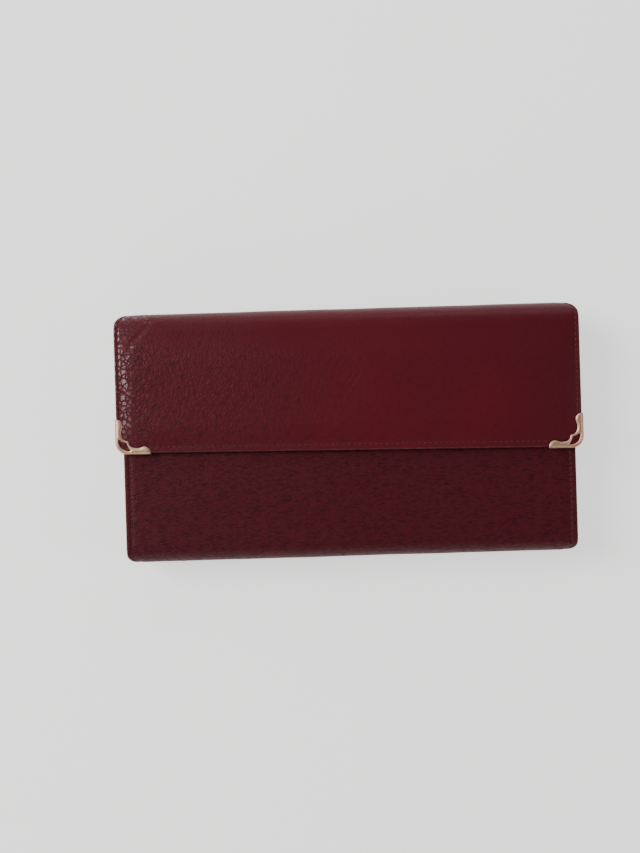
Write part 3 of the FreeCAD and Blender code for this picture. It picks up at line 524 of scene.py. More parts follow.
# %% Describe a profile
class Profile:
    """A path in a plane, measured along its length. Its outer side is on the left of the way it runs."""

    def __init__(self, start):
        self.points = [np.array(start, float)]

    def line_to(self, end, pitch=2.0):
        end = np.array(end, float)
        count = max(1, int(np.linalg.norm(end - self.points[-1]) / pitch))
        start = self.points[-1]
        self.points += [start + (end - start) * (i + 1) / count for i in range(count)]
        return self

    def arc(self, centre, radius, start, end, pitch=1.5):
        """An arc round centre, between two angles in degrees."""
        count = int(abs(end - start) / pitch)
        for i in range(1, count + 1):
            angle = math.radians(start + (end - start) * i / count)
            spoke = np.array([math.cos(angle), math.sin(angle)])
            self.points.append(np.array(centre, float) + radius * spoke)
        return self

    def done(self):
        points = np.array(self.points)
        steps = np.diff(points, axis=0)
        lengths = np.linalg.norm(steps, axis=1)
        self.at = np.concatenate([[0], np.cumsum(lengths)])
        tangents = steps / lengths[:, None]
        smooth = np.vstack([tangents[:1], (tangents[:-1] + tangents[1:]) / 2, tangents[-1:]])
        smooth /= np.linalg.norm(smooth, axis=1)[:, None]
        self.array = points
        self.normals = np.stack([-smooth[:, 1], smooth[:, 0]], axis=1)
        self.length = self.at[-1]
        return self

    def sample(self, s):
        """Places and outward directions at the lengths s, as two arrays with one more axis of size 2."""
        places = np.stack([np.interp(s, self.at, self.array[:, i]) for i in (0, 1)], axis=-1)
        out = np.stack([np.interp(s, self.at, self.normals[:, i]) for i in (0, 1)], axis=-1)
        return places, out / np.linalg.norm(out, axis=-1, keepdims=True)


print("a profile can run straight and round arcs")


# %% Draw the cover's profile
HIGH_BEND, LOW_BEND = TOP - SPINE_R, SPINE_R
cover = Profile((Y_FLAP, TOP)).line_to((Y_FOLD, TOP))
cover.arc((Y_FOLD, HIGH_BEND), SPINE_R, 90, 0).line_to((Y_SPINE, LOW_BEND))
cover.arc((Y_FOLD, LOW_BEND), SPINE_R, 0, -90).line_to((Y_BASE, 0))
cover.arc((Y_BASE, BOTTOM_R), BOTTOM_R, -90, -180).line_to((Y_LOW, FRONT_TOP - BOTTOM_R))
cover.arc((Y_BASE, FRONT_TOP - BOTTOM_R), BOTTOM_R, 180, 90).line_to((Y_FRONT, FRONT_TOP)).done()
# Lengths along the strip, from the flap's edge: to the fold, the middle of the spine, the back and the front.
S_FOLD = Y_FOLD - Y_FLAP
S_SPINE = S_FOLD + SPINE_R * math.pi / 2 + (HIGH_BEND - LOW_BEND) / 2
S_BACK = 2 * S_SPINE - S_FOLD
S_FRONT = cover.length - (Y_FRONT - Y_BASE)
print(f"the cover is one strip, {cover.length:.0f} mm long")


# %% Bend a grid of points round a profile
def spread(distances, middle, count):
    """Places from 0 to 1 along a span: crowded near both ends and even in the middle."""
    near = np.array(distances) / middle
    inner = np.linspace(near[-1], 1 - near[-1], count)[1:-1]
    return np.concatenate([near, inner, 1 - near[::-1]])


def smooth_step(value, low, high):
    """0 below low, 1 above high and a smooth rise between, for arrays of numbers."""
    t = np.clip((value - low) / (high - low), 0, 1)
    return t * t * (3 - 2 * t)


# Distances from an edge, in millimetres, at which a sheet gets lines of points.
EDGE_ROWS = [0, 0.06, 0.2, 0.42, 0.7, 1.0, 1.35, 1.7, 2.05, 2.4, 2.75, 3.1, 3.6, 4.4, 5.5]
THIN_ROWS = [0, 0.05, 0.15, 0.3, 0.6, 1.2, 2.4]
STRIP_ROWS = [0, 0.05, 0.15, 0.3, 0.6]
TOLERANCE = 1e-9
print("lines of points near an edge:", len(EDGE_ROWS), len(THIN_ROWS), len(STRIP_ROWS))


# %% Make a mesh from points
MERGE_WITHIN, NO_LENGTH = 1e-7, 1e-8
CRISP_ANGLE = math.radians(40)


def build_mesh(name, points, faces, sharp_rings=(), edge_distance=None):
    """A smooth mesh from points in millimetres. Edges between two points of one sharp ring stay crisp."""
    mesh = bpy.data.meshes.new(name)
    mesh.from_pydata([tuple(p) for p in points * MM], [], faces)
    if edge_distance is not None:
        mesh.attributes.new("edge", "FLOAT", "POINT").data.foreach_set("value", edge_distance)
    work = bmesh.new()
    work.from_mesh(mesh)
    ring_layer = work.verts.layers.int.new("ring")
    work.verts.ensure_lookup_table()
    for ring in sharp_rings:
        for i in ring:
            work.verts[i][ring_layer] = 1
    bmesh.ops.remove_doubles(work, verts=work.verts, dist=MERGE_WITHIN)
    bmesh.ops.dissolve_degenerate(work, edges=work.edges, dist=NO_LENGTH)
    bmesh.ops.recalc_face_normals(work, faces=work.faces)
    for face in work.faces:
        face.smooth = True
    for edge in work.edges:
        if edge.verts[0][ring_layer] and edge.verts[1][ring_layer] and len(edge.link_faces) == 2:
            edge.smooth = edge.calc_face_angle(0) < CRISP_ANGLE
    work.verts.layers.int.remove(ring_layer)
    work.to_mesh(mesh)
    work.free()
    piece = bpy.data.objects.new(name, mesh)
    bpy.context.scene.collection.objects.link(piece)
    return piece


print("mesh maker ready")


# %% Lay out the lines of a sheet
def row_lines(span, rows, ends, edge_lines):
    """Where the rows lie, from 0 to 1 along the sheet: crowded near a rounded end."""
    t = np.linspace(0, 1, rows)
    if ends[0] is not None:
        t = np.concatenate([np.array(edge_lines) / span, np.linspace(edge_lines[-1] / span, 1, rows)[1:]])
    if ends[1] is not None:
        tail = 1 - np.array(edge_lines)[::-1] / span
        t = np.concatenate([t[t < tail[0] - TOLERANCE], tail])
    return t


def corner_cut(radius, distance):
    """What a rounded corner takes off the half width, that far from the end."""
    over = np.clip(radius - distance, 0, radius)
    return radius - np.sqrt(np.maximum(radius**2 - over**2, 0))


def nearest_edge(side, corners):
    """How far each point lies from the nearest edge. Corners are (radius, distance to that end)."""
    edge = side
    for radius, distance in corners:
        a, b = radius - side, radius - distance
        rounded = radius - np.hypot(a, b)
        edge = np.minimum(edge, np.where((a > 0) & (b > 0), rounded, np.minimum(side, distance)))
    return np.clip(edge, 0, None)


def shell_faces(n_rows, n_cols, ends):
    """Faces of an outer and an inner grid, closed at the ends, and the rings of points round those ends."""
    index = np.arange(n_rows * n_cols).reshape(n_rows, n_cols)
    corners = (index[:-1, :-1], index[:-1, 1:], index[1:, 1:], index[1:, :-1])
    quads = np.stack(corners, axis=-1).reshape(-1, 4)
    under = n_rows * n_cols
    faces = [tuple(q) for q in quads] + [tuple(q[::-1] + under) for q in quads]
    rings = []
    for row, radius in ((0, ends[0]), (n_rows - 1, ends[1])):
        if radius is None:
            line = index[row]
            faces += [(line[i], line[i + 1], line[i + 1] + under, line[i] + under) for i in range(n_cols - 1)]
            rings.append(np.concatenate([line, line + under]))
    return faces, rings


print("lines and edges of a sheet ready")


# %% Make a sheet
def sheet(name, profile, s_span, half_width, thick, rows, columns, depth=0.0, inset=0.0, ends=(None, None),
          relief=None, edge_lines=EDGE_ROWS, start_line=np.zeros_like, place=None):
    """A strip bent round a profile.

    s_span is the stretch of the profile it covers and half_width(s) half its width there. It lies depth under
    the profile and stops inset short of its sides. ends gives the corner radius of a rounded end, or None
    where the next length goes on. start_line(x) bends the first end, relief(x, s, edge) lifts the outer side,
    and place turns the sheet's own directions into the wallet's.
    """
    s_low, s_high = s_span
    span = s_high - s_low
    middle_width = 2 * half_width(np.array([s_low + span / 2]))[0]
    t = row_lines(span, rows, ends, edge_lines)
    u = spread(edge_lines, middle_width, columns)
    tt, uu = np.meshgrid(t, u, indexing="ij")
    x_guess = (uu * 2 - 1) * (half_width(s_low + tt * span) - inset)
    s = s_low + start_line(x_guess) * (1 - tt) + tt * span
    full = half_width(s) - inset

    def rounded_ends(x):
        """The radius of each rounded end and the distances to it."""
        distances = (s - s_low - start_line(x), s_high - s)
        return [(radius, away) for radius, away in zip(ends, distances) if radius is not None]

    cut = np.zeros_like(s)
    for radius, distance in rounded_ends(x_guess):
        cut = np.maximum(cut, corner_cut(radius, distance))
    half = full - cut
    side_in = np.minimum(uu, 1 - uu) * middle_width
    side_sign = np.where(uu < 0.5, -1.0, 1.0)
    near_edge = side_in <= edge_lines[-1] + TOLERANCE
    inner_u = (uu * 2 - 1) / (1 - 2 * u[len(edge_lines) - 1])
    x = np.where(near_edge, side_sign * (half - side_in), inner_u * (half - edge_lines[-1]))

    # Both sides roll round towards the middle of the thickness near every edge.
    edge = nearest_edge(full - np.abs(x), rounded_ends(x))
    roll = thick / 2
    over = np.clip(roll - edge, 0, roll) / roll
    drop = roll * (1 - np.sqrt(1 - over**2))
    lift = relief(x, s, edge) * np.clip(edge / roll, 0, 1) if relief else np.zeros_like(x)
    places, out = profile.sample(s)
    layers = []
    for offset in (lift - depth - drop, -depth - thick + drop):
        layer = places + out * offset[..., None]
        p, q = layer[..., 0], layer[..., 1]
        layers.append(np.stack(place(x, p, q) if place else (x, p, q), axis=-1).reshape(-1, 3))
    faces, rings = shell_faces(*tt.shape, ends)
    return build_mesh(name, np.vstack(layers), faces, rings, np.tile(edge.ravel(), 2))


print("sheet maker ready")


# %% Dress a piece
def dress(piece, material, body=None, bends=None, hides=()):
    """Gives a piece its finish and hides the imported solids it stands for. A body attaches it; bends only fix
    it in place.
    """
    piece.data.materials.clear()
    piece.data.materials.append(material)
    if hides:
        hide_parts(*hides)
    if bends:
        first, second, start, end = bends
        [v * MM for v in start]
        [v * MM for v in end]
        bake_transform(piece)
    else:
        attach(piece, body)
    return piece


print("dressing ready")


# %% [markdown]
# ## The shape of the cover
#
# The strip is widest along the flap, narrows where the outline is rounded at the ends of the spine, and is a
# little narrower along the back and the front. Its outer side isn't flat. The seam pulls a groove, the
# leather swells between the seam and the board's edge, and use has left creases in the corners. The middle
# of the flap carries a small lozenge, pressed into the leather.
#
# A displacement of the points gives these shapes, because they show in the outline and catch the light, and
# the grain, which is finer than any grid, is left to the finish.

# %% Give the strip its width
def cover_half(s):
    """Half the strip's width at the length s."""
    s = np.asarray(s, float)
    y = cover.sample(s)[0][..., 0]
    body_share = smooth_step(s, S_SPINE, S_BACK)
    half = FLAP_HALF + (BODY_HALF - FLAP_HALF) * body_share
    near_spine = np.clip(y - (Y_SPINE - SPINE_CORNER), 0, SPINE_CORNER)
    rounding = SPINE_CORNER - np.sqrt(SPINE_CORNER**2 - near_spine**2)
    near_bottom = np.clip((Y_LOW + FRONT_CORNER) - y, 0, FRONT_CORNER)
    rounding = rounding + FRONT_CORNER - np.sqrt(FRONT_CORNER**2 - near_bottom**2)
    return half - rounding


def flap_edge(x):
    """The flap's lower edge lies a little higher towards the left end."""
    return FLAP_SKEW * (0.5 - x / (2 * FLAP_HALF))


print(f"half width: {cover_half(0):.1f} mm on the flap, {cover_half(S_FRONT):.1f} mm on the front")


# %% List the creases
def near_line(x, y, start, end):
    """Distance to a straight line between two points."""
    a, b = np.array(start, float), np.array(end, float)
    d = b - a
    t = np.clip(((x - a[0]) * d[0] + (y - a[1]) * d[1]) / (d @ d), 0, 1)
    return np.hypot(x - a[0] - t * d[0], y - a[1] - t * d[1])


# Each crease: its two ends, as places across the wallet and along the strip, its half width and its depth.
CREASES = [
    ((-77, S_FOLD + 5), (-86, S_FOLD - 5), 0.9, 0.10),
    ((-86, S_FOLD - 5), (-88, S_FOLD - 12), 1.1, 0.06),
    ((83, S_FOLD + 4), (89, S_FOLD - 8), 0.9, 0.10),
    ((-75, S_FRONT + 3), (-68, S_FRONT - 6), 0.8, 0.16),
    ((77, S_FRONT + 3), (84, S_FRONT - 6), 0.8, 0.18),
    ((54, S_FRONT - 1.5), (84, S_FRONT - 0.5), 0.7, 0.08),
    ((-40, S_FOLD + 2.5), (62, S_FOLD + 1.5), 1.3, 0.05),
]
print("creases:", len(CREASES))


# %% Find the seam lines
def side_inset(s):
    """The side of the strip to its seam: less along the flap and the spine than on the body."""
    return SIDE_SEAM + (SEAM - SIDE_SEAM) * smooth_step(s, S_SPINE, S_BACK)


def off_seam(x, s):
    """Distance to the nearest seam line. The lines stop at each other in the corners."""
    side = cover_half(s) - np.abs(x) - side_inset(s)
    low, high = s - flap_edge(x) - SEAM, cover.length - s - SEAM
    return np.minimum(np.abs(np.minimum(side, low)), np.abs(np.minimum(side, high)))


print(f"the seam runs {SIDE_SEAM} mm inside the flap's sides and {SEAM} mm inside the other edges")


# %% Model the outer side
SWELL, CROWN = 0.16, 0.95
GROOVE, GROOVE_HALF = 0.26, 0.45
LOZENGE_Y, LOZENGE_WIDE, LOZENGE_TALL = 24.5, 10.5, 16.0
# Each outline of the lozenge: its size and its half width as shares of the whole, and its depth.
LOZENGE_LINES = [(1.0, 0.085, 0.10), (0.55, 0.09, 0.07)]


def hollow(distance, half, deep):
    """A rounded channel of that half width and depth."""
    return -deep * np.exp(-((distance / half) ** 2))


def cover_relief(x, s, edge):
    """How far the outer side stands above the plain strip, in millimetres."""
    lift = SWELL * smooth_step(edge, 2.0, 5.0)
    on_flap = 1 - smooth_step(s, S_FOLD - 14, S_FOLD + 2)
    from_left, from_right = FLAP_HALF + x, FLAP_HALF - x
    crown = smooth_step(from_left, 1.2, 8.5) * smooth_step(from_right, 1.2, 9) * smooth_step(s, 2.4, 13)
    lift += CROWN * crown * on_flap
    lift += hollow(off_seam(x, s), GROOVE_HALF, GROOVE)
    # Two faint waves, so that nothing is quite flat.
    lift += 0.06 * np.sin(x * 0.09 + s * 0.05 + 0.7) * np.sin(s * 0.11 - x * 0.02) * smooth_step(edge, 4, 12)
    lift += 0.04 * np.sin(x * 0.21 + 1.3) * np.sin(s * 0.17 + x * 0.05)
    # A crease pushes up a low ridge beside it.
    for start, end, wide, deep in CREASES:
        away = near_line(x, s, start, end)
        lift += hollow(away, wide, deep) - 0.45 * hollow(away - 2.2 * wide, wide, deep)
    size = np.abs(x) / (LOZENGE_WIDE / 2) + np.abs(s - (LOZENGE_Y - Y_FLAP)) / (LOZENGE_TALL / 2)
    for share, half, deep in LOZENGE_LINES:
        lift += hollow(size - share, half, deep)
    return lift


middle = np.array([0.0]), np.array([S_FOLD / 2]), np.array([S_FOLD / 2])
print(f"the middle of the flap is crowned by {cover_relief(*middle)[0]:.2f} mm")


# %% Cut and bend the lengths of the cover
SPLIT = 1.0
LEATHER_THICK = 1.55


def cover_sheet(name, s_span, rows, columns, **shape):
    return sheet(name, cover, s_span, cover_half, LEATHER_THICK, rows, columns, relief=cover_relief, **shape)


flap_cover = cover_sheet(
    "flap_cover", (0, S_FOLD - SPLIT), rows=80, columns=260, ends=(FLAP_CORNER, None), start_line=flap_edge,
)
spine_upper = cover_sheet("spine_cover_upper", (S_FOLD - SPLIT, S_SPINE), rows=40, columns=200)
spine_lower = cover_sheet("spine_cover_lower", (S_SPINE, S_BACK + SPLIT), rows=40, columns=200)
back_cover = cover_sheet("back_cover", (S_BACK + SPLIT, S_FRONT), rows=150, columns=160)
front_cover = cover_sheet(
    "front_cover", (S_FRONT, cover.length), rows=110, columns=230, ends=(None, FRONT_CORNER),
)
lengths = (flap_cover, spine_upper, spine_lower, back_cover, front_cover)
print("cover:", {o.name: len(o.data.polygons) for o in lengths})

# %% Put the lengths on their bodies, and leave the spine's two in place
UPPER_BEND = ("spine", "flap", (0, Y_SPINE, HIGH_BEND), (0, Y_FOLD, TOP))
LOWER_BEND = ("wallet_body", "spine", (0, Y_FOLD, 0), (0, Y_SPINE, LOW_BEND))
dress(flap_cover, outer_leather, "flap", hides=["flap_leather", "flap_board"])
dress(spine_upper, outer_leather, bends=UPPER_BEND, hides=["spine_leather"])
dress(spine_lower, outer_leather, bends=LOWER_BEND)
dress(back_cover, outer_leather, "wallet_body", hides=["back_leather", "back_board"])
dress(front_cover, outer_leather, "front", hides=["front_leather", "front_board"])
print("the two bends of the spine bend between", UPPER_BEND[:2], "and", LOWER_BEND[:2])

# %% [markdown]
# ## The lining
#
# The outer leather is turned over at the edges, and the lining is glued over the turned edge, a little way
# in. It follows the same profile on the inner side, so it is made by the same function, deeper and narrower.

# %% Line the cover
LINING_INSET, LINING_DEPTH, LINING_THICK, LINING_CORNER = 1.6, 1.2, 0.6, 3.0


def lining_sheet(name, s_span, rows, **shape):
    return sheet(
        name, cover, s_span, cover_half, LINING_THICK, rows, columns=60, depth=LINING_DEPTH,
        inset=LINING_INSET, edge_lines=THIN_ROWS, **shape,
    )


flap_lining = lining_sheet(
    "flap_lining_sheet", (LINING_INSET, S_FOLD - SPLIT), rows=30, ends=(LINING_CORNER, None),
    start_line=flap_edge,
)
upper_lining = lining_sheet("spine_lining_upper", (S_FOLD - SPLIT, S_SPINE), rows=30)
lower_lining = lining_sheet("spine_lining_lower", (S_SPINE, S_BACK + SPLIT), rows=30)
back_lining = lining_sheet("back_lining_sheet", (S_BACK + SPLIT, S_FRONT), rows=120)
front_lining = lining_sheet(
    "front_lining_sheet", (S_FRONT, cover.length - LINING_INSET), rows=40, ends=(None, LINING_CORNER),
)
dress(flap_lining, lining_leather, "flap", hides=["flap_lining"])
dress(upper_lining, lining_leather, bends=UPPER_BEND, hides=["spine_lining"])
dress(lower_lining, lining_leather, bends=LOWER_BEND)
dress(back_lining, lining_leather, "wallet_body", hides=["back_lining"])
dress(front_lining, lining_leather, "front", hides=["front_lining"])
linings = (flap_lining, upper_lining, lower_lining, back_lining, front_lining)
print("lining:", {o.name: len(o.data.polygons) for o in linings})

# %% [markdown]
# ## The seams
#
# Stitches repeat along a path, which is work for Geometry Nodes. The path is a line of points on the leather
# that carry the leather's outward direction. The tree spaces points evenly along it, lays one stitch on each
# and turns it along the path. The same tree sets the zip's teeth.

# %% Build the tree that repeats a unit along a path
REPEAT_SOCKETS = {
    "Path": "Geometry", "Unit": "Object", "Pitch": "Float", "Unevenness": "Float", "Seed": "Int",
    "Finish": "Material",
}


def repeat_tree():
    """The tree, and the identifier of each of its inputs."""
    tree = bpy.data.node_groups.new("repeat_along_path", "GeometryNodeTree")
    sockets = {}
    for name, kind in REPEAT_SOCKETS.items():
        made = tree.interface.new_socket(name, in_out="INPUT", socket_type="NodeSocket" + kind)
        sockets[name] = made.identifier
    tree.interface.new_socket("Mesh", in_out="OUTPUT", socket_type="NodeSocketGeometry")

    def add(kind, settings=None, **links):
        made = tree.nodes.new(kind)
        for key, value in (settings or {}).items():
            setattr(made, key, value)
        for key, value in links.items():
            socket = made.inputs[int(key[1:])] if key[0] == "i" and key[1:].isdigit() else made.inputs[key]
            if isinstance(value, bpy.types.NodeSocket):
                tree.links.new(value, socket)
            else:
                socket.default_value = value
        return made

    given = add("NodeGroupInput").outputs
    curve = add("GeometryNodeMeshToCurve", Mesh=given["Path"])
    even = add("GeometryNodeResampleCurve", {"mode": "LENGTH"}, Curve=curve.outputs[0], Length=given["Pitch"])
    tangent = add("GeometryNodeInputTangent")
    outward = add("GeometryNodeInputNamedAttribute", {"data_type": "FLOAT_VECTOR"}, Name="outward")
    along = add("FunctionNodeAlignRotationToVector", {"axis": "X"}, Vector=tangent.outputs[0])
    upright = add(
        "FunctionNodeAlignRotationToVector", {"axis": "Z", "pivot_axis": "X"},
        Rotation=along.outputs[0], Vector=outward.outputs["Attribute"],
    )
    lean = add("ShaderNodeMath", {"operation": "MULTIPLY"}, i0=given["Unevenness"], i1=-1.0)
    turn = add("FunctionNodeRandomValue", {"data_type": "FLOAT"}, Seed=given["Seed"])
    for socket in turn.inputs:
        if socket.enabled and socket.name in ("Min", "Max"):
            tree.links.new(lean.outputs[0] if socket.name == "Min" else given["Unevenness"], socket)
    value = next(s for s in turn.outputs if s.enabled)
    twist = add("ShaderNodeCombineXYZ", Z=value)
    angled = add("FunctionNodeEulerToRotation", Euler=twist.outputs[0])
    turned = add("FunctionNodeRotateRotation", {"rotation_space": "LOCAL"}, Rotation=upright.outputs[0])
    tree.links.new(angled.outputs[0], turned.inputs[1])
    unit = add("GeometryNodeObjectInfo", Object=given["Unit"])
    placed = add(
        "GeometryNodeInstanceOnPoints", Points=even.outputs[0], Instance=unit.outputs["Geometry"],
        Rotation=turned.outputs[0],
    )
    real = add("GeometryNodeRealizeInstances", Geometry=placed.outputs[0])
    finished = add("GeometryNodeSetMaterial", Geometry=real.outputs[0], Material=given["Finish"])
    add("NodeGroupOutput", i0=finished.outputs[0])
    return tree, sockets


REPEAT, REPEAT_INPUTS = repeat_tree()
print("inputs:", list(REPEAT_INPUTS))


# %% Repeat a unit along paths
def path_mesh(name, runs):
    """A mesh of separate lines. Each run is (points in mm, outward directions)."""
    points, edges, outward = [], [], []
    for places, directions in runs:
        start = len(points)
        points += [tuple(np.array(p) * MM) for p in places]
        outward += [tuple(d) for d in directions]
        edges += [(start + i, start + i + 1) for i in range(len(places) - 1)]
    mesh = bpy.data.meshes.new(name)
    mesh.from_pydata(points, edges, [])
    layer = mesh.attributes.new("outward", "FLOAT_VECTOR", "POINT")
    layer.data.foreach_set("vector", np.array(outward, float).ravel())
    holder = bpy.data.objects.new(name, mesh)
    bpy.context.scene.collection.objects.link(holder)
    return holder


def repeat(name, runs, unit, pitch, finish, unevenness=0.05, seed=3):
    """One plain mesh with the unit repeated along every run."""
    holder = path_mesh(name + "_path", runs)
    modifier = holder.modifiers.new("repeat", "NODES")
    modifier.node_group = REPEAT
    values = {"Unit": unit, "Pitch": pitch * MM, "Unevenness": unevenness, "Seed": seed, "Finish": finish}
    for key, value in values.items():
        modifier[REPEAT_INPUTS[key]] = value
    bpy.context.view_layer.update()
    evaluated = holder.evaluated_get(bpy.context.evaluated_depsgraph_get())
    mesh = bpy.data.meshes.new_from_object(evaluated)
    mesh.name = name
    if "outward" in mesh.attributes:
        mesh.attributes.remove(mesh.attributes["outward"])
    piece = bpy.data.objects.new(name, mesh)
    bpy.context.scene.collection.objects.link(piece)
    bpy.data.objects.remove(holder)
    return piece


print("repeater ready")


# %% Make one stitch
STITCH_LENGTH, STITCH_RADIUS, STITCH_SIDES = 1.62, 0.24, 7
# Each ring: its place along the stitch, its size as a share of the radius, and its height in millimetres.
STITCH_RINGS = [
    (-0.5, 0.45, -0.26), (-0.40, 0.86, -0.07), (-0.2, 1.0, 0.0),
    (0.2, 1.0, 0.0), (0.40, 0.86, -0.07), (0.5, 0.45, -0.26),
]


def stitch_unit():
    """A short thread that dives into the leather at both ends."""
    points = []
    for along, size, height in STITCH_RINGS:
        for i in range(STITCH_SIDES):
            angle = 2 * math.pi * i / STITCH_SIDES
            across, up = math.cos(angle) * STITCH_RADIUS * size, math.sin(angle) * STITCH_RADIUS * size
            points.append((along * STITCH_LENGTH, across, up + height))
    faces = []
    last = (len(STITCH_RINGS) - 1) * STITCH_SIDES
    for first in range(0, last, STITCH_SIDES):
        for i in range(STITCH_SIDES):
            j = (i + 1) % STITCH_SIDES
            faces.append((first + i, first + j, first + STITCH_SIDES + j, first + STITCH_SIDES + i))
    faces.append(tuple(range(STITCH_SIDES))[::-1])
    faces.append(tuple(range(last, last + STITCH_SIDES)))
    return build_mesh("stitch_unit", np.array(points), faces)


stitch = stitch_unit()
print("faces in a stitch:", len(stitch.data.polygons))


# %% Draw the seams on the cover
PITCH = 2.15
THREAD_LIFT = 0.06
RUN_STEP = 0.5


def seam_on_cover(points):
    """A run of the seam from (x, s) points: in the groove, with the leather's outward direction."""
    x, s = np.array(points, float).T
    places, out = cover.sample(s)
    lift = cover_relief(x, s, np.full_like(x, SEAM)) + THREAD_LIFT
    where = places + out * lift[:, None]
    return np.column_stack([x, where]), np.column_stack([0 * x, out])


def side_seam(side, s_low, s_high):
    s = np.arange(s_low, s_high, RUN_STEP)
    return seam_on_cover(np.column_stack([side * (cover_half(s) - side_inset(s)), s]))


def cross_seam(s_of_x, x_low, x_high):
    x = np.arange(x_low, x_high, RUN_STEP)
    return seam_on_cover(np.column_stack([x, s_of_x(x)]))


print(f"a stitch every {PITCH} mm")


# %% Sew the seams
# The flap's seam stops where the metal corners start, and the others run on round the bends.
ARM = 14.6
BACK_STOP, FRONT_START = 1.0, 0.6
SIDES = (-1, 1)
flap_runs = [side_seam(side, ARM + flap_edge(side * FLAP_HALF), S_FOLD - SPLIT) for side in SIDES]
flap_runs.append(cross_seam(lambda x: flap_edge(x) + SEAM, -FLAP_HALF + ARM, FLAP_HALF - ARM))
upper_runs = [side_seam(side, S_FOLD - SPLIT, S_SPINE) for side in SIDES]
lower_runs = [side_seam(side, S_SPINE, S_BACK + SPLIT) for side in SIDES]
back_runs = [side_seam(side, S_BACK + SPLIT, S_FRONT - BACK_STOP) for side in SIDES]
front_runs = [side_seam(side, S_FRONT + FRONT_START, cover.length - SEAM) for side in SIDES]
front_runs.append(cross_seam(lambda x: 0 * x + cover.length - SEAM, -BODY_HALF + SEAM, BODY_HALF - SEAM))
flap_stitches = repeat("flap_stitches", flap_runs, stitch, PITCH, thread)
upper_stitches = repeat("spine_stitches_upper", upper_runs, stitch, PITCH, thread)
lower_stitches = repeat("spine_stitches_lower", lower_runs, stitch, PITCH, thread)
back_stitches = repeat("back_stitches", back_runs, stitch, PITCH, thread)
front_stitches = repeat("front_stitches", front_runs, stitch, PITCH, thread)
dress(flap_stitches, thread, "flap", hides=["flap_thread"])
dress(upper_stitches, thread, bends=UPPER_BEND)
dress(lower_stitches, thread, bends=LOWER_BEND)
dress(back_stitches, thread, "wallet_body")
dress(front_stitches, thread, "front", hides=["front_thread"])
print("faces in the flap's seam:", len(flap_stitches.data.polygons))

# %% [markdown]
# ## The metal corners
#
# Each corner is stamped from thin sheet and folded round the flap's edge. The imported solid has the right
# outline, so a copy of it gets an even skin of small faces, which are smoothed and then raised towards the
# middle of each arm. The snap, the slider and the pull are simpler: the flat faces of a copy are joined, and
# a bevel rounds its edges as plating and handling do.

# %% Round the edges of a packed metal piece
PACKED_MERGE = 2e-6
FLAT_ANGLE, METAL_EDGE_ANGLE = math.radians(1.0), math.radians(35)


def merged_copy(node, name):
    """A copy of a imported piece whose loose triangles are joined: the copy and its mesh, open for work."""
    piece = bpy.data.objects.new(name, nodes[node].data.copy())
    bpy.context.scene.collection.objects.link(piece)
    work = bmesh.new()
    work.from_mesh(piece.data)
    bmesh.ops.remove_doubles(work, verts=work.verts, dist=PACKED_MERGE)
    return piece, work


def rounded_copy(node, name, width, material, body, segments=3):
    """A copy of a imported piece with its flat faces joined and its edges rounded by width, in millimetres."""
    piece, work = merged_copy(node, name)
    bmesh.ops.dissolve_limit(work, angle_limit=FLAT_ANGLE, verts=work.verts, edges=work.edges)
    for face in work.faces:
        face.smooth = True
    for edge in work.edges:
        edge.smooth = len(edge.link_faces) == 2 and edge.calc_face_angle(0) < METAL_EDGE_ANGLE
    work.to_mesh(piece.data)
    work.free()
    bevel = piece.modifiers.new("rounding", "BEVEL")
    bevel.width = width * MM
    bevel.segments = segments
    bevel.limit_method = "ANGLE"
    bevel.angle_limit = METAL_EDGE_ANGLE
    bevel.harden_normals = True
    return dress(piece, material, body, hides=[node])


print("metal rounding ready")


# %% Crown the arms of a metal corner
SKIN_SIZE = 0.13
CROWN_RISE, CROWN_WIDTH = 0.34, 1.15
FRONT_DEPTH = 0.25
RIM_TILT, FACING_UP = 0.75, 0.3


def stamped_corner(node, name):
    """A copy of a metal corner whose edges are rounded over and whose arms are slightly crowned."""
    front_face = box_mm(node)[1][2]
    raw, work = merged_copy(node, name + "_raw")
    work.to_mesh(raw.data)
    work.free()
    skin = raw.modifiers.new("even_skin", "REMESH")
    skin.mode, skin.voxel_size = "VOXEL", SKIN_SIZE * MM
    bpy.context.view_layer.update()
    mesh = bpy.data.meshes.new_from_object(raw.evaluated_get(bpy.context.evaluated_depsgraph_get()))
    mesh.name = name
    bpy.data.objects.remove(raw)
    work = bmesh.new()
    work.from_mesh(mesh)
    every_way = {"use_axis_x": True, "use_axis_y": True, "use_axis_z": True}
    for _ in range(2):
        bmesh.ops.smooth_vert(work, verts=work.verts, factor=0.5, **every_way)
    work.normal_update()
    rim = [v for v in work.verts if abs(v.normal.z) < RIM_TILT]
    tree = KDTree(len(rim))
    for i, vert in enumerate(rim):
        tree.insert((vert.co.x, vert.co.y, 0), i)
    tree.balance()
    for vert in work.verts:
        if vert.co.z / MM > front_face - FRONT_DEPTH and vert.normal.z > FACING_UP:
            away = tree.find((vert.co.x, vert.co.y, 0))[2] / MM
            vert.co.z += CROWN_RISE * MM * (1 - (1 - min(away / CROWN_WIDTH, 1)) ** 2)
    for face in work.faces:
        face.smooth = True
    work.to_mesh(mesh)
    work.free()
    piece = bpy.data.objects.new(name, mesh)
    bpy.context.scene.collection.objects.link(piece)
    print(name, len(mesh.polygons), "faces")
    return dress(piece, pale_gold, "flap", hides=[node])


for side in ("left", "right"):
    stamped_corner(f"corner_{side}", f"metal_corner_{side}")

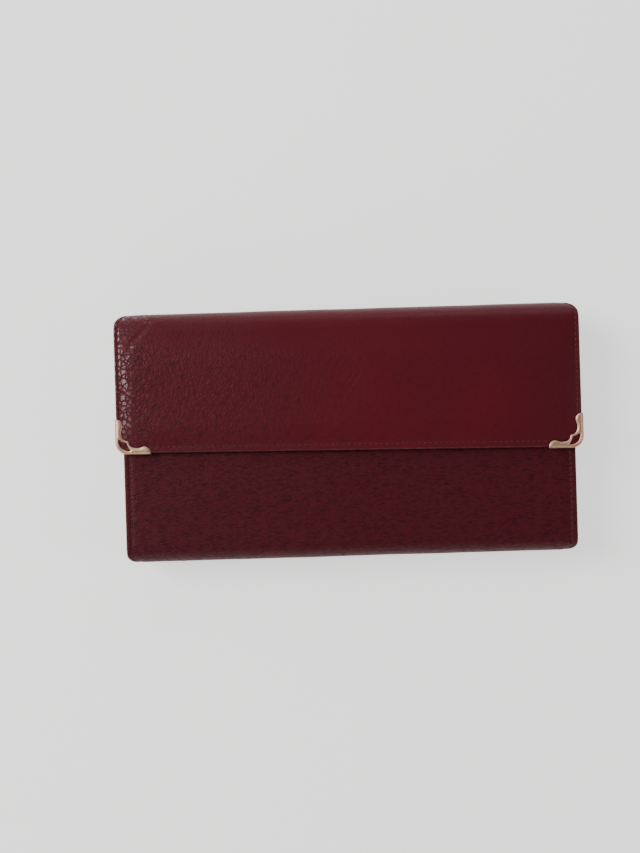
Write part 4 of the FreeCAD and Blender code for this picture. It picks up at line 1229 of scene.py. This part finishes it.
# %% Round the snap, the slider and the pull
SNAP_ROUND, SLIDER_ROUND, PULL_ROUND = 0.08, 0.09, 0.16
for node, body in (("snap_stud", "front"), ("snap_socket", "flap")):
    rounded_copy(node, node + "_rounded", SNAP_ROUND, pale_gold, body, segments=2)
rounded_copy("zip_slider", "zip_slider_rounded", SLIDER_ROUND, zip_gold, "slider")
rounded_copy("zip_pull", "zip_pull_rounded", PULL_ROUND, zip_gold, "pull")
print("rounded metal pieces:", 4)

# %% [markdown]
# ## The pouch
#
# The coin pouch is one piece of leather folded up into a U. It is a sheet on its own profile. The card
# pockets on its front are flat sheets, each a step lower than the one behind, with a creased line under the
# mouth and a slightly crowned middle.

# %% Fold the pouch
pouch_low, pouch_high = box_mm("pouch_leather")
POUCH_HALF = pouch_high[0]
POUCH_R = (pouch_high[2] - pouch_low[2]) / 2
Y_POUCH_BEND = pouch_low[1] + POUCH_R
Y_MOUTH = pouch_high[1]
POUCH_THICK = 0.7
POUCH_LINE = 1.6
pouch_profile = Profile((Y_MOUTH, pouch_low[2])).line_to((Y_POUCH_BEND, pouch_low[2]))
pouch_profile.arc((Y_POUCH_BEND, pouch_low[2] + POUCH_R), POUCH_R, -90, -270)
pouch_profile.line_to((Y_MOUTH, pouch_high[2])).done()


def even_half(half):
    """The half width of a strip that is as wide all along."""
    return lambda s: 0 * np.asarray(s, float) + half


def pouch_relief(x, s, edge):
    """A creased line along the edge and one faint wave."""
    return hollow(edge - POUCH_LINE, 0.4, 0.06) + 0.04 * np.sin(x * 0.07 + s * 0.1)


pouch = sheet(
    "pouch_body", pouch_profile, (0, pouch_profile.length), even_half(POUCH_HALF), POUCH_THICK,
    rows=140, columns=90, ends=(1.0, 1.0), relief=pouch_relief, edge_lines=THIN_ROWS,
)
dress(pouch, lining_leather, "pouch", hides=["pouch_leather"])
print("faces in the pouch:", len(pouch.data.polygons))


# %% Stack the card pockets
CARD_CORNERS = (0.8, 2.5)
MOUTH_LINE, CARD_CROWN = 1.5, 0.10


def card_pocket(side_name, layer):
    node = f"card_pocket_{side_name}_{layer}"
    low, high = box_mm(node)
    middle, half = (low[0] + high[0]) / 2, (high[0] - low[0]) / 2
    profile = Profile((low[1], high[2])).line_to((high[1], high[2])).done()

    def relief(x, s, edge):
        mouth = profile.length - s
        return hollow(mouth - MOUTH_LINE, 0.25, 0.07) + CARD_CROWN * smooth_step(edge, 1, 9)

    piece = sheet(
        f"card_sheet_{side_name}_{layer}", profile, (0, profile.length), even_half(half), high[2] - low[2],
        rows=60, columns=60, ends=CARD_CORNERS, relief=relief, edge_lines=THIN_ROWS,
        place=lambda x, p, q: (x + middle, p, q),
    )
    return dress(piece, lining_leather, "pouch", hides=[node])


for side_name in ("left", "right"):
    for layer in (1, 2, 3):
        card_pocket(side_name, layer)
print("card pockets:", 6)

# %% [markdown]
# ## The gussets
#
# A gusset is a strip that closes the end of a compartment and folds inwards when the wallet is shut. Each one
# is a sheet whose profile is a soft V, seen from above the mouth. The gussets of the bill compartments join
# two bodies, and are only left in place where they lie.

# %% Fold a gusset
GUSSET_THICK, GUSSET_POINTS = 0.4, 41
FOLD_FULLNESS = 0.8


def gusset(node, bends=None, body=None):
    low, high = box_mm(node)
    side = 1 if low[0] > 0 else -1
    outer, depth = high[0] if side > 0 else low[0], high[0] - low[0]
    t = np.linspace(0, 1, GUSSET_POINTS)
    fold = outer - side * np.sin(math.pi * t) ** FOLD_FULLNESS * depth
    heights = low[2] + (high[2] - low[2]) * t
    profile = Profile((fold[0], heights[0]))
    profile.points += [np.array(place) for place in zip(fold[1:], heights[1:])]
    profile.done()
    middle, half = (low[1] + high[1]) / 2, (high[1] - low[1]) / 2
    piece = sheet(
        node + "_strip", profile, (0, profile.length), even_half(half), GUSSET_THICK, rows=40, columns=30,
        depth=-GUSSET_THICK / 2, ends=(GUSSET_THICK / 2, GUSSET_THICK / 2), edge_lines=STRIP_ROWS,
        place=lambda w, p, q: (p, w + middle, q),
    )
    if bends:
        bends = (*bends, (0, 0, low[2]), (0, 0, high[2]))
    return dress(piece, lining_leather, body, bends=bends, hides=[node])


for side_name in ("left", "right"):
    gusset(f"rear_gusset_{side_name}", bends=("wallet_body", "pouch"))
    gusset(f"front_gusset_{side_name}", bends=("pouch", "front"))
    gusset(f"pouch_gusset_{side_name}", body="pouch")
print("gussets:", 6)

# %% [markdown]
# ## The zip
#
# A woven tape is sewn inside each wall of the pouch and turns in at the mouth to carry its row of teeth. The
# tape is a sheet on an L-shaped profile, and the teeth are one rounded tooth repeated by the tree that made
# the seams.

# %% Bend the tapes
TAPE_THICK, TAPE_CORNER, TAPE_BEND = 0.34, 0.3, 0.8


def zip_tape(node, side):
    low, high = box_mm(node)
    half = high[0]
    bend_y = high[1] - TAPE_BEND
    if side > 0:
        profile = Profile((low[1], high[2])).line_to((bend_y, high[2]))
        profile.arc((bend_y, high[2] - TAPE_BEND), TAPE_BEND, 90, 0).line_to((high[1], low[2])).done()
    else:
        profile = Profile((high[1], high[2])).line_to((high[1], low[2] + TAPE_BEND))
        profile.arc((bend_y, low[2] + TAPE_BEND), TAPE_BEND, 0, -90).line_to((low[1], low[2])).done()
    piece = sheet(
        node + "_woven", profile, (0, profile.length), even_half(half), TAPE_THICK, rows=40, columns=80,
        ends=(TAPE_CORNER, TAPE_CORNER), edge_lines=STRIP_ROWS,
    )
    dress(piece, tape, "pouch", hides=[node])
    return piece


tapes = [zip_tape("zip_tape_rear", -1), zip_tape("zip_tape_front", 1)]
print("tapes:", {o.name: len(o.data.polygons) for o in tapes})


# %% Make one tooth
# The tooth's outline, as shares of its width and of its reach towards the other row.
TOOTH_OUTLINE = [(-0.5, 0.0), (-0.5, 0.62), (-0.3, 0.95), (0.3, 0.95), (0.5, 0.62), (0.5, 0.0)]
TOOTH_WIDE, TOOTH_PITCH, TOOTH_ROUND = 1.0, 2.0, 0.1


def tooth_unit(tall, deep):
    """A tooth of the zip: a small rounded block with a narrower tip. X runs along the zip, Y to the tip."""
    points = [(x * TOOTH_WIDE, y * deep, z * tall / 2) for z in (-1, 1) for x, y in TOOTH_OUTLINE]
    count = len(TOOTH_OUTLINE)
    faces = [tuple(range(count))[::-1], tuple(range(count, 2 * count))]
    faces += [(i, (i + 1) % count, (i + 1) % count + count, i + count) for i in range(count)]
    piece = build_mesh("tooth_unit", np.array(points), faces)
    bevel = piece.modifiers.new("rounding", "BEVEL")
    bevel.width, bevel.segments = TOOTH_ROUND * MM, 1
    return piece


print(f"a tooth every {TOOTH_PITCH} mm")


# %% Set the teeth
def tooth_row(node, side):
    low, high = box_mm(node)
    middle_y = (low[1] + high[1]) / 2
    root = low[2] if side < 0 else high[2]
    unit = tooth_unit(high[1] - low[1], (high[2] - low[2]) * -side)
    unit.data.transform(Matrix.Rotation(math.radians(90), 4, "X"))
    x = np.array([low[0] + TOOTH_WIDE / 2, high[0] - TOOTH_WIDE / 2])
    places = np.column_stack([x, 0 * x + middle_y, 0 * x + root])
    run = (places, [(0, 0, 1)] * 2)
    teeth = repeat(node + "_set", [run], unit, TOOTH_PITCH, zip_gold, unevenness=0.0)
    bpy.data.objects.remove(unit)
    return dress(teeth, zip_gold, "pouch", hides=[node])


rows = [tooth_row("zip_teeth_rear", -1), tooth_row("zip_teeth_front", 1)]
bpy.data.objects.remove(stitch)
print("faces in the teeth:", {o.name: len(o.data.polygons) for o in rows})

# %% [markdown]
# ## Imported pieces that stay
#
# The small turned and stamped parts already have their true shape, so they only get their finish. The boards
# stay hidden in the leather, and get theirs all the same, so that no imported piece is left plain.

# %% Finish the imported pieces
KEPT = {
    "zip_stops": zip_gold, "pull_pin": zip_gold, "snap_cap": pale_gold, "snap_stud_rivet": pale_gold,
    "flap_board": board, "front_board": board, "back_board": board,
}
for node, material in KEPT.items():
    nodes[node].data.materials.clear()
    nodes[node].data.materials.append(material)
print("packed pieces finished:", list(KEPT))

# %% [markdown]
# ## The floor
#
# A plain pale floor catches a soft shadow and sends light back into the sides of the leather.

# %% Lay the floor
FLOOR_HALF, FLOOR_DROP = 4.0, 0.0004
floor_mesh = bpy.data.meshes.new("floor")
corners = [(-1, -1), (1, -1), (1, 1), (-1, 1)]
floor_mesh.from_pydata([(x * FLOOR_HALF, y * FLOOR_HALF, 0) for x, y in corners], [], [(0, 1, 2, 3)])
floor = bpy.data.objects.new("floor", floor_mesh)
floor.location.z = -FLOOR_DROP
bpy.context.scene.collection.objects.link(floor)
floor_finish, floor_shader = new_finish("floor_paper")[:2]
floor_shader.inputs["Base Color"].default_value = colour(226, 225, 224)
floor_shader.inputs["Roughness"].default_value = 0.9
floor_shader.inputs["Emission Color"].default_value = (1.0, 0.995, 0.985, 1)
floor_shader.inputs["Emission Strength"].default_value = 1.08
floor.data.materials.append(floor_finish)
print("floor:", 2 * FLOOR_HALF, "m wide")
